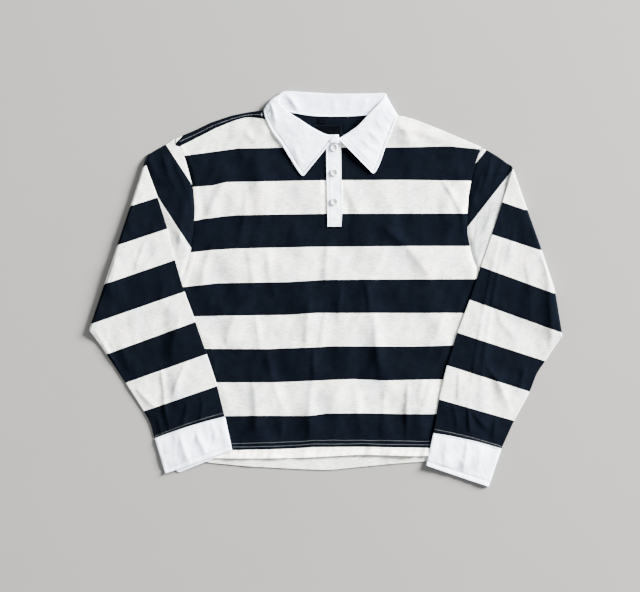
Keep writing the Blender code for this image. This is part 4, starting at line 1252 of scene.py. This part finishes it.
def jersey_material(colours):
    shader = new_material("striped jersey", roughness=0.95, sheen=0.008, specular=0.015)
    cloth, _, across, tone_and_painted_light = cloth_of(shader)
    place = across + (clouds(cloth, scale=40.0, detail=1.0) - 0.5) * STRIPE_WANDER
    dark = sums("LESS_THAN", sums("FRACT", place * 0.5), 0.5)
    mottle, fuzz = use_group("washed cotton", cloth, ("Shade", "Fuzz"), Streaks=0.9, Patches=0.85)
    loops, loop_gap_shade = use_group("jersey loops", cloth, ("Height", "Gap"))
    # Third cloth coordinate, on the cream only: doubled cloth of the front painted lighter, partly
    # its own tone and partly painted light; on the sleeves, negative, the painted shade beside the
    # forearms.
    layers = tone_and_painted_light * (1.0 - dark)
    patch = stretched(clouds(cloth, scale=1.1, detail=4.0), low=0.35, high=0.65)
    share = sums("ADD", patch, layers * 0.7, clamp=True)
    # Random patches, painted shade (cool) and painted light on doubled cloth (warm) set the tint.
    tint = blend(cloth.tree, share, rgba(COOL_PATCH_AND_SHADE), rgba(WARM_PATCH_AND_LIGHT))
    colour = blend(cloth.tree, dark, rgba(colours.cream), rgba(colours.navy))
    colour = blend(cloth.tree, 1.0, colour, tint, "MULTIPLY")
    # Painted shade: the cloth is darker in the gaps between the knit loops.
    shade = mottle * (1.04 - loop_gap_shade * 0.1) * (0.955 + layers * 0.13)
    feed(shader, {"Base Color": shaded(shade, colour),
                  "Normal": bumped(loops + fuzz * 0.8, distance=0.00022, strength=0.5)})


def woven_material(colours):
    shader = new_material("collar twill", roughness=0.85, sheen=0.04)
    cloth, x, y, painted_shade_mask = cloth_of(shader)
    mottle, fuzz = use_group("washed cotton", cloth, ("Shade", "Fuzz"), Streaks=0.22, Patches=0.2)
    twill, = use_group("collar twill", cloth, ("Height",))
    # Painted shade: positive marks darken the stitch lines for the shade in their grooves, more in
    # dashes where each stitch dips; negative marks grey the collar stand and the cuffs' under
    # layers.
    dash = sums("GREATER_THAN", sums("FRACT", (x + y) * 20.0), 0.35)
    seam, painted_shade = (sums("MULTIPLY", painted_shade_mask, side, clamp=True) for side in (1.0, -1.0))
    shade = mottle * (1.0 - seam * (0.08 + dash * 0.2))
    patch = stretched(clouds(cloth, scale=1.9, detail=3.0), low=0.42, high=0.66, top=0.75)
    # Random patches and painted shade both move the white towards the greyer tint.
    share = sums("ADD", patch, painted_shade, clamp=True)
    colour = blend(cloth.tree, share, rgba(colours.white), rgba(colours.white, PATCH_AND_SHADE_TINT))
    feed(shader, {"Base Color": shaded(shade, colour),
                  "Normal": bumped(twill + fuzz * 0.6, distance=0.00015, strength=0.5)})


def ribbon_material(colours):
    """Bare woven label: fine ribs, with a satin line round the edge that is painted lighter as its
    sheen.
    """
    shader = new_material("label ribbon", roughness=0.6, specular=0.01)
    cloth, _, y, border = cloth_of(shader)
    rib = sums("SINE", y * 900.0)
    line = sums("GREATER_THAN", border, 0.80) * sums("LESS_THAN", border, 0.9)
    mottle, = use_group("washed cotton", cloth, ("Shade",), Streaks=0.2, Patches=0.1)
    colour = blend(cloth.tree, line, shaded(mottle, rgba(colours.label)),
                   rgba(colours.label, PAINTED_SATIN_SHEEN))
    feed(shader, {"Base Color": colour, "Roughness": 0.42 + rib * 0.08,
                  "Normal": bumped(rib, distance=0.0001, strength=0.4)})


def button_material(colours):
    """Polished resin with a faint cloud in it and finer scratches on top."""
    shader = new_material("button resin", roughness=0.25, specular=0.4)
    place = place_of(shader)
    cloud = clouds(place, scale=260.0, detail=3.0, distortion=1.2)
    scratch = clouds(place, scale=2600.0, detail=2.0)
    feed(shader, {"Base Color": shaded(0.94 + cloud * 0.12, rgba(colours.button)),
                  "Roughness": 0.18 + scratch * 0.2,
                  "Coat Weight": 0.3, "Subsurface Weight": 0.08,
                  "Subsurface Radius": (0.002, 0.0018, 0.0015)})


def thread_material(name, colour):
    """Twisted sewing thread."""
    shader = new_material(name, roughness=0.6, sheen=0.1)
    twist = Value(put(shader.id_data, "ShaderNodeTexWave", {
        "Vector": place_of(shader), "Scale": 700.0, "Distortion": 3.0},
        bands_direction="DIAGONAL"), "Fac")
    feed(shader, {"Base Color": shaded(0.86 + twist * 0.2, rgba(colour)),
                  "Normal": bumped(twist, distance=0.0001, strength=0.6)})


def materials():
    """The finishes, built once and kept by name."""
    if "striped jersey" not in bpy.data.materials:
        colours = bpy.context.scene.shirt_colours
        for build in (knit_group, weave_group, mottle_group):
            build()
        for build in (jersey_material, woven_material, ribbon_material, button_material):
            build(colours)
        thread_material("white thread", colours.white)
        thread_material("grey thread", colours.thread)
        # The button thread is painted dark for the shade in the button's holes.
        thread_material("button thread", [BUTTON_THREAD_SHADE * c for c in colours.white])
    return bpy.data.materials


# Stitches

def stitch_tree():
    """Geometry Nodes tree that lays a run of stitches along each line of its input."""
    if "stitch run" in bpy.data.node_groups:
        return bpy.data.node_groups["stitch run"]
    (lines, pitch, length, thread, unevenness, seed, finish), out = new_group(
        "stitch run", "GeometryNodeTree",
        (("Geometry", "Geometry", None), ("Pitch", "Float", 0.0028), ("Length", "Float", 0.0022),
         ("Thread", "Float", 0.0006), ("Unevenness", "Float", 0.12), ("Seed", "Int", 3),
         ("Material", "Material", None)), (("Geometry", "Geometry"),))
    tree = lines.tree

    def step(kind, inputs, output=0, **settings):
        return Value(put(tree, kind, inputs, **settings), output)

    even = step("GeometryNodeResampleCurve", {
        "Curve": step("GeometryNodeMeshToCurve", {"Mesh": lines}), "Length": pitch}, mode="LENGTH")
    places = put(tree, "GeometryNodeCurveToPoints", {"Curve": even}, mode="EVALUATED")
    share = step("FunctionNodeRandomValue", {
        2: 1.0 - unevenness, 3: 1.0 + unevenness, "Seed": seed}, 1, data_type="FLOAT")
    laid = step("GeometryNodeInstanceOnPoints", {
        "Points": Value(places, "Points"),
        "Instance": step("GeometryNodeMeshUVSphere", {"Segments": 6, "Rings": 5, "Radius": 0.5}),
        "Rotation": step("FunctionNodeAlignRotationToVector",
                         {"Vector": Value(places, "Tangent")}, axis="Z"),
        "Scale": step("ShaderNodeCombineXYZ", {"X": thread, "Y": thread, "Z": length * share})})
    real = step("GeometryNodeRealizeInstances", {"Geometry": laid})
    smooth = step("GeometryNodeSetShadeSmooth", {"Geometry": real})
    feed(out, {"Geometry": step("GeometryNodeSetMaterial",
                                {"Geometry": smooth, "Material": finish})})
    return tree


def sew(name, lines, finish, pitch, length, thread, slot, seed=None):
    """Piece of the stitches that run along the given lines of points, in millimetres."""
    mesh = bpy.data.meshes.new(name)
    verts, edges = [], []
    for line in lines:
        start = len(verts)
        verts += (np.asarray(line) * MM).tolist()
        edges += [(start + k, start + k + 1) for k in range(len(line) - 1)]
    mesh.from_pydata(verts, edges, [])
    piece = new_piece(name, mesh)
    run = piece.modifiers.new("stitches", "NODES")
    run.node_group = stitch_tree()
    values = {"Pitch": pitch * MM, "Length": length * MM, "Thread": thread * MM,
              "Seed": len(name) if seed is None else seed, "Material": materials()[finish]}
    for item in run.node_group.interface.items_tree:
        if item.in_out == "INPUT" and item.name in values:
            run[item.identifier] = values[item.name]
    set_mesh(piece)
    return dress(piece, slot)


# What the sidebar holds

class ShirtSizes(bpy.types.PropertyGroup):
    jersey: bpy.props.FloatProperty(
        name="Jersey", description="Thickness of the knitted cloth", default=0.0011,
        min=0.0005, max=0.003, unit="LENGTH")
    woven: bpy.props.FloatProperty(
        name="Collar cloth", description="Thickness of the two plies of collar and cuffs",
        default=0.0015, min=0.0005, max=0.003, unit="LENGTH")
    placket: bpy.props.FloatProperty(
        name="Placket cloth", description="Thickness of the folded placket", default=0.0013,
        min=0.0005, max=0.003, unit="LENGTH")
    stitch: bpy.props.FloatProperty(
        name="Stitch", description="Length of one stitch", default=0.0024, min=0.001,
        max=0.006, unit="LENGTH")
    thread: bpy.props.FloatProperty(
        name="Thread", description="Thickness of the sewing thread", default=0.0006,
        min=0.0002, max=0.0015, unit="LENGTH")


class ShirtColours(bpy.types.PropertyGroup):
    navy: bpy.props.FloatVectorProperty(
        name="Navy", description="Dark stripes", subtype="COLOR", size=3, min=0, max=1,
        default=(0.00125, 0.0020, 0.0039))
    cream: bpy.props.FloatVectorProperty(
        name="Cream", description="Light stripes", subtype="COLOR", size=3, min=0, max=1,
        default=(0.655, 0.652, 0.615))
    white: bpy.props.FloatVectorProperty(
        name="White", description="Collar, cuffs, placket and thread", subtype="COLOR", size=3,
        min=0, max=1, default=(0.84, 0.905, 1.0))
    button: bpy.props.FloatVectorProperty(
        name="Buttons", description="Resin of the buttons", subtype="COLOR", size=3, min=0,
        max=1, default=(0.60, 0.60, 0.585))
    label: bpy.props.FloatVectorProperty(
        name="Labels", description="Bare ribbon of the labels", subtype="COLOR", size=3, min=0,
        max=1, default=(0.0008, 0.0011, 0.0018))
    thread: bpy.props.FloatVectorProperty(
        name="Seam thread", description="Thread that shows on the navy cloth", subtype="COLOR",
        size=3, min=0, max=1, default=(0.22, 0.23, 0.235))


class SHIRT_OT_body(bpy.types.Operator):
    """Makes the back and the front, each with its strip over one shoulder"""
    bl_idname = "shirt.body"
    bl_label = "Back and Front"

    def execute(self, context):
        back = panel_grid(HEM_BACK, TOP_BACK, back_height, *BACK_POINTS)
        front = panel_grid(HEM_FRONT, TOP_FRONT, front_height, *FRONT_POINTS)
        for name, panel, other, radius, rising in (
                ("back_panel", back, front, WRAP_OVER_R, True),
                ("front_panel", front, back, TURN_R, False)):
            edge, seam = panel[-1], other[-1]
            stripes = body_stripes(panel[..., 0], panel[..., 1])
            rolls = edge[:, 0] <= NECK_RIGHT_X if rising else edge[:, 0] >= NECK_LEFT_X
            edge, at_edge = edge[rolls], stripes[-1][rolls]
            ends = table_at(edge[:, 0], seam[:, 0], seam)
            ends[:, 0] = edge[:, 0]
            ends[:, 1] += SHOULDER_GAP
            strip = wrapped_strip(edge, ends, radius, rising)
            strip_stripes = at_edge - np.linalg.norm(strip - strip[0], axis=-1) / STRIPE
            tone_and_painted_light = 0.0
            if rising:
                stripes = np.minimum(np.maximum(stripes, 0.05), shoulder_tip(panel))
                strip_stripes = np.minimum(0.5, shoulder_tip(strip))
                GRIDS["shoulder strip"] = strip
            else:
                # Doubled cloth of the front is painted lighter: partly its own tone, partly painted
                # light.
                tone_and_painted_light = DOUBLED_TONE_AND_LIGHT * doubled_cloth(panel[..., 0], panel[..., 1])
            grids = [(panel, cloth_coordinates(panel[..., 0], stripes, tone_and_painted_light)),
                     (strip, cloth_coordinates(strip[..., 0], strip_stripes))]
            piece = cloth_mesh(name.replace("panel", "jersey"), grids, "striped jersey",
                               context.scene.shirt_sizes.jersey)
            dress(piece, "jersey", name)
        return {"FINISHED"}


class SHIRT_OT_sleeves(bpy.types.Operator):
    """Makes both sleeves, flattened and folded in over the body"""
    bl_idname = "shirt.sleeves"
    bl_label = "Sleeves"

    def execute(self, context):
        for name in SLEEVES:
            GRIDS[name], cloth = sleeve_grid(name)
            piece = cloth_mesh(name + "_jersey", [(GRIDS[name], cloth)], "striped jersey",
                               context.scene.shirt_sizes.jersey)
            dress(piece, "jersey", name)
        return {"FINISHED"}


class SHIRT_OT_cuffs(bpy.types.Operator):
    """Makes both cuffs"""
    bl_idname = "shirt.cuffs"
    bl_label = "Cuffs"

    def execute(self, context):
        for name in CUFFS:
            GRIDS[name], cloth = cuff_grid(name)
            piece = cloth_mesh(name + "_cloth", [(GRIDS[name], cloth)], "collar twill",
                               context.scene.shirt_sizes.woven)
            dress(piece, "woven", name)
        return {"FINISHED"}


class SHIRT_OT_collar(bpy.types.Operator):
    """Makes the collar, stand and turned-down leaf in one"""
    bl_idname = "shirt.collar"
    bl_label = "Collar"

    def execute(self, context):
        GRIDS["collar"], cloth = collar_grid()
        grids = [(GRIDS["collar"], cloth), band_end_grid()]
        piece = cloth_mesh("collar_cloth", grids, "collar twill", context.scene.shirt_sizes.woven)
        dress(piece, "woven", "collar")
        return {"FINISHED"}


class SHIRT_OT_placket(bpy.types.Operator):
    """Makes the placket on the front"""
    bl_idname = "shirt.placket"
    bl_label = "Placket"

    def execute(self, context):
        GRIDS["placket"], cloth = placket_grid()
        piece = cloth_mesh("placket_cloth", [(GRIDS["placket"], cloth)], "collar twill",
                           context.scene.shirt_sizes.placket)
        dress(piece, "woven", "placket")
        return {"FINISHED"}


class SHIRT_OT_buttons(bpy.types.Operator):
    """Makes the four-hole buttons and the thread that holds them"""
    bl_idname = "shirt.buttons"
    bl_label = "Buttons"

    def execute(self, context):
        blank = self.turned_button()
        span = np.linspace(-1, 1, 9)
        across, rise = span * BUTTON_HOLE_OUT, 1.15 + 0.75 * (1 - span ** 4)
        for index, (name, (x, y, turn)) in enumerate(BUTTONS.items()):
            base = float(front_height(np.array(x), np.array(y))) + BUTTON_LIFT
            spin = np.array(((cos(turn), -sin(turn), 0), (sin(turn), cos(turn), 0), (0, 0, 1)))
            mesh = blank.copy()
            mesh.name = name + "_resin"
            points = np.array([v.co for v in mesh.vertices]) @ spin.T + np.array((x, y, base)) * MM
            mesh.vertices.foreach_set("co", points.ravel())
            mesh.update()
            dress(new_piece(name + "_resin", mesh), "button", name)
            lines = [np.column_stack([across, 0 * span + side + shift, rise]) @ spin.T
                     + (x, y, base) for side in (-BUTTON_HOLE_OUT, BUTTON_HOLE_OUT)
                     for shift in (-THREAD_SPREAD, THREAD_SPREAD)]
            sew(name + "_thread", lines, "button thread", *BUTTON_SEWING, "woven", index)
        bpy.data.meshes.remove(blank)
        return {"FINISHED"}

    def turned_button(self):
        """Disc turned from its profile, with four holes through it."""
        profile, drill = bmesh.new(), bmesh.new()
        points = [profile.verts.new((r * MM, 0, h * MM)) for r, h in BUTTON_PROFILE]
        for first, second in zip(points, points[1:]):
            profile.edges.new((first, second))
        bmesh.ops.spin(profile, geom=profile.verts[:] + profile.edges[:], cent=(0, 0, 0),
                       axis=(0, 0, 1), dvec=(0, 0, 0), angle=2 * pi, steps=BUTTON_SEGMENTS)
        bmesh.ops.remove_doubles(profile, verts=profile.verts, dist=0.000005)
        bmesh.ops.recalc_face_normals(profile, faces=profile.faces)
        out, hole = BUTTON_HOLE_OUT * MM, BUTTON_HOLE_R * MM
        for corner in ((-out, -out, 0), (-out, out, 0), (out, -out, 0), (out, out, 0)):
            made = bmesh.ops.create_cone(drill, cap_ends=True, segments=16, radius1=hole,
                                         radius2=hole, depth=6 * MM)
            bmesh.ops.translate(drill, verts=made["verts"], vec=corner)
        pieces = []
        for name, shape in (("button blank", profile), ("drill", drill)):
            mesh = bpy.data.meshes.new(name)
            shape.to_mesh(mesh)
            shape.free()
            pieces.append(new_piece(name, mesh))
        blank, drill_piece = pieces
        blank.data.materials.append(materials()["button resin"])
        cut = blank.modifiers.new("holes", "BOOLEAN")
        cut.operation = "DIFFERENCE"
        cut.solver = "EXACT"
        cut.object = drill_piece
        set_mesh(blank)
        finished = blank.data
        finished.shade_smooth()
        finished.set_sharp_from_angle(angle=radians(40))
        bpy.data.meshes.remove(drill_piece.data)
        bpy.data.objects.remove(blank)
        return finished


class SHIRT_OT_labels(bpy.types.Operator):
    """Makes the bare labels inside the back neck"""
    bl_idname = "shirt.labels"
    bl_label = "Labels"

    def execute(self, context):
        u, v = np.meshgrid(*(np.linspace(-1, 1, count) for count in LABEL_POINTS))
        border = np.maximum(np.abs(u), np.abs(v) * 0.92)
        for name, (x, y, width, height) in LABELS.items():
            px, py = x + u * width / 2, y + v * height / 2
            z = back_height(px, py) + LABEL_LIFT + 0.12 * noise(px / 14, py / 9, 61)
            points = np.dstack([px, py, z])
            cloth = np.dstack([px / STRIPE, py / STRIPE, border])
            if name == "size_tab":
                under, over = (points - (0, 0, sunk) for sunk in TAB_LAYERS)
                points = np.concatenate([under[::-1], over])
                points[LABEL_POINTS[1] - 1:LABEL_POINTS[1] + 1, :, 1] -= TAB_FOLD
                cloth = np.concatenate([cloth[::-1], cloth])
            piece = cloth_mesh(name + "_ribbon", [(points, cloth)], "label ribbon", LABEL_WALL * MM)
            dress(piece, "label", name)
        return {"FINISHED"}


class SHIRT_OT_stitching(bpy.types.Operator):
    """Sews the seams, hems and edges"""
    bl_idname = "shirt.stitching"
    bl_label = "Stitching"

    def execute(self, context):
        sizes = context.scene.shirt_sizes
        stitch, thread = sizes.stitch / MM, sizes.thread / MM
        over_jersey, over_woven = (wall / MM / 2 + THREAD_LIFT
                                   for wall in (sizes.jersey, sizes.woven))

        def on_jersey(name, lines, more=1.2):
            sew(name, lines, "grey thread", stitch + more, stitch, FINE * thread, "jersey")

        def on_woven(name, lines):
            sew(name, lines, "white thread", stitch, stitch - 0.3, thread, "woven")

        x = np.linspace(*HEM_RUN, 400)
        rows = []
        for inset in HEM_STITCHES:
            y = np.interp(x, *np.array(STRIPE_LINES[-1]).T) + inset + 0.5 * noise(x / 30, inset, 83)
            rows.append(np.column_stack([x, y, front_height(x, y) + over_jersey]))
        y = look(HEM_BACK, x) + BACK_HEM_STITCH
        rows.append(np.column_stack([x, y, back_height(x, y) + over_jersey]))
        on_jersey("hem_stitches", rows)

        strip, up = GRIDS["shoulder strip"], np.array((0, 0, over_jersey))
        line = at(strip, SHOULDER_ROW, np.linspace(2, strip.shape[1] - 3, 160)) + up
        end = at(strip, np.linspace(10.5, 13, 6), strip.shape[1] - 6) + up
        on_jersey("shoulder_stitches", [line], 0.8)
        sew("shoulder_bartack", [end, end + (0.5, 0, 0.05)], "grey thread", *BARTACK,
            FINE * thread, "jersey")

        on_woven("collar_stitches", self.collar_lines(over_woven))
        for name in CUFFS:
            length, sewing = cuff_sewing(name)
            across = np.linspace(1, CUFF_ACROSS - 2, 120)
            on_woven(name + "_stitches", [
                at(GRIDS[name], line / length * (CUFF_ROWS - 1), across) + (0, 0, over_woven)
                for line in sewing])
        across = np.linspace(SLEEVE_ACROSS + 8, 2 * SLEEVE_ACROSS + 5, 120)
        for name in SLEEVES:
            row = len(GRIDS[name]) - SLEEVE_STITCH_ROW
            on_jersey(name + "_stitches", [at(GRIDS[name], row, across) + up])
        on_woven("placket_stitches", self.placket_lines())
        sew("buttonhole_stitches", self.buttonholes(), "white thread", *BUTTONHOLE_SATIN, "woven")
        return {"FINISHED"}

    def collar_lines(self, lift):
        """Rows beside the free edges of the leaf, and along the stand's seam."""
        grid = GRIDS["collar"]
        rows, columns = grid.shape[:2]
        leaf = sum(COLLAR_ACROSS[:COLLAR_FIRST_LEAF])
        first = COLLAR_EDGE_STITCH / COLLAR_STATION * COLLAR_ALONG
        last = rows - 1 - first
        stations = np.linspace(first, last, 420)
        edge_columns = []
        for i in stations:
            back = run_length(at(grid, i, np.arange(leaf, columns))[::-1])[1:]
            place = np.interp(COLLAR_EDGE_STITCH, back, np.arange(len(back)))
            edge_columns.append(columns - 2 - place)
        smooth = np.convolve(np.pad(edge_columns, 4, mode="edge"), np.ones(9) / 9, mode="valid")
        stand = np.linspace(3 * COLLAR_ALONG, rows - 1 - 3 * COLLAR_ALONG, 300)
        lines = [on_surface(grid, i, j, lift) for i, j in (
            (stations, smooth), (first, np.linspace(leaf + 2, smooth[0], 60)),
            (last, np.linspace(leaf + 2, smooth[-1], 60)),
            (stand, COLLAR_STAND_STITCH * COLLAR_ACROSS[0]))]
        for line in lines:
            line[:, 2] = np.maximum(line[:, 2], THREAD_LOW)
        return lines

    def placket_lines(self):
        """Rows beside both edges, and the box across the foot."""
        grid = GRIDS["placket"]
        rows, columns = grid.shape[:2]
        inset = PLACKET_EDGE_STITCH / PLACKET_WIDTH * (columns - 1)
        places = np.linspace(2, rows - 3, 120), np.linspace(inset, columns - 1 - inset, 24)
        long = PLACKET[0][0] - PLACKET[-1][0]
        runs = [(places[0], inset), (places[0], columns - 1 - inset)]
        runs += [(foot / long * (rows - 1), places[1]) for foot in PLACKET_BOX]
        return [at(grid, i, j) + (0, 0, PLACKET_CLOTH / 2 + THREAD_LIFT) for i, j in runs]

    def buttonholes(self):
        """Two close rows of upright satin stitches beside each slit."""
        lines = []
        for x, y, _ in BUTTONS.values():
            slit = np.linspace(x - BUTTONHOLE[0], x + BUTTONHOLE[1], 40)
            for side in (-BUTTONHOLE[2], BUTTONHOLE[2]):
                beside = np.full(40, y + side)
                level = front_height(slit, beside) + PLACKET_LIFT + PLACKET_CLOTH / 2
                lines.append(np.column_stack([slit, beside, level + SATIN_LIFT]))
        return lines


class SHIRT_OT_stage(bpy.types.Operator):
    """Sets the pale floor, the soft lights and the camera straight above"""
    bl_idname = "shirt.stage"
    bl_label = "Stage"

    def execute(self, context):
        mesh = bpy.data.meshes.new("floor")
        corners = [(x * FLOOR_SIDE, y * FLOOR_SIDE, FLOOR_Z)
                   for x, y in ((-1, -1), (1, -1), (1, 1), (-1, 1))]
        mesh.from_pydata(corners, [], [(0, 1, 2, 3)])
        floor = new_piece("floor", mesh)
        shader = new_material("pale floor", roughness=0.9)
        shade = 0.97 + clouds(place_of(shader), scale=6.0, detail=4.0) * 0.05
        feed(shader, {"Base Color": shaded(shade, rgba(FLOOR_COLOUR))})
        mesh.materials.append(bpy.data.materials["pale floor"])

        world = bpy.data.worlds.new("studio")
        world.use_nodes = True
        feed(world.node_tree.nodes["Background"], {"Color": rgba(SKY), "Strength": SKY_LIGHT})
        context.scene.world = world
        for name, spot, size, power in LAMPS:
            light = bpy.data.lights.new(name, "AREA")
            light.size = size
            light.energy = power
            lamp = new_piece(name, light)
            lamp.location = spot
            lamp.rotation_euler = (-Vector(spot)).to_track_quat("-Z", "Y").to_euler()

        camera = bpy.data.cameras.new("camera")
        camera.type = "ORTHO"
        camera.ortho_scale = CAMERA_WIDTH
        camera.clip_end = 10
        holder = new_piece("camera", camera)
        holder.location = CAMERA_AT
        context.scene.camera = holder
        return {"FINISHED"}


class SHIRT_PT_panel(bpy.types.Panel):
    """Lists the steps that make the shirt"""
    bl_label = "Rugby Shirt"
    bl_idname = "SHIRT_PT_panel"
    bl_space_type = "VIEW_3D"
    bl_region_type = "UI"
    bl_category = "Rugby Shirt"

    def draw(self, context):
        for group in (context.scene.shirt_sizes, context.scene.shirt_colours):
            for name in group.__annotations__:
                self.layout.prop(group, name)
        for operator in OPERATORS:
            self.layout.operator(operator.bl_idname)


OPERATORS = (
    SHIRT_OT_stage, SHIRT_OT_body, SHIRT_OT_sleeves, SHIRT_OT_cuffs, SHIRT_OT_collar,
    SHIRT_OT_placket, SHIRT_OT_buttons, SHIRT_OT_labels, SHIRT_OT_stitching,
)
CLASSES = (ShirtSizes, ShirtColours, *OPERATORS, SHIRT_PT_panel)


def register():
    for kind in CLASSES:
        bpy.utils.register_class(kind)
    bpy.types.Scene.shirt_sizes = bpy.props.PointerProperty(type=ShirtSizes)
    bpy.types.Scene.shirt_colours = bpy.props.PointerProperty(type=ShirtColours)


def unregister():
    del bpy.types.Scene.shirt_sizes, bpy.types.Scene.shirt_colours
    for kind in reversed(CLASSES):
        bpy.utils.unregister_class(kind)


def main():
    register()
    for operator in OPERATORS:
        group, name = operator.bl_idname.split(".")
        getattr(getattr(bpy.ops, group), name)()


if __name__ == "__main__":
    main()
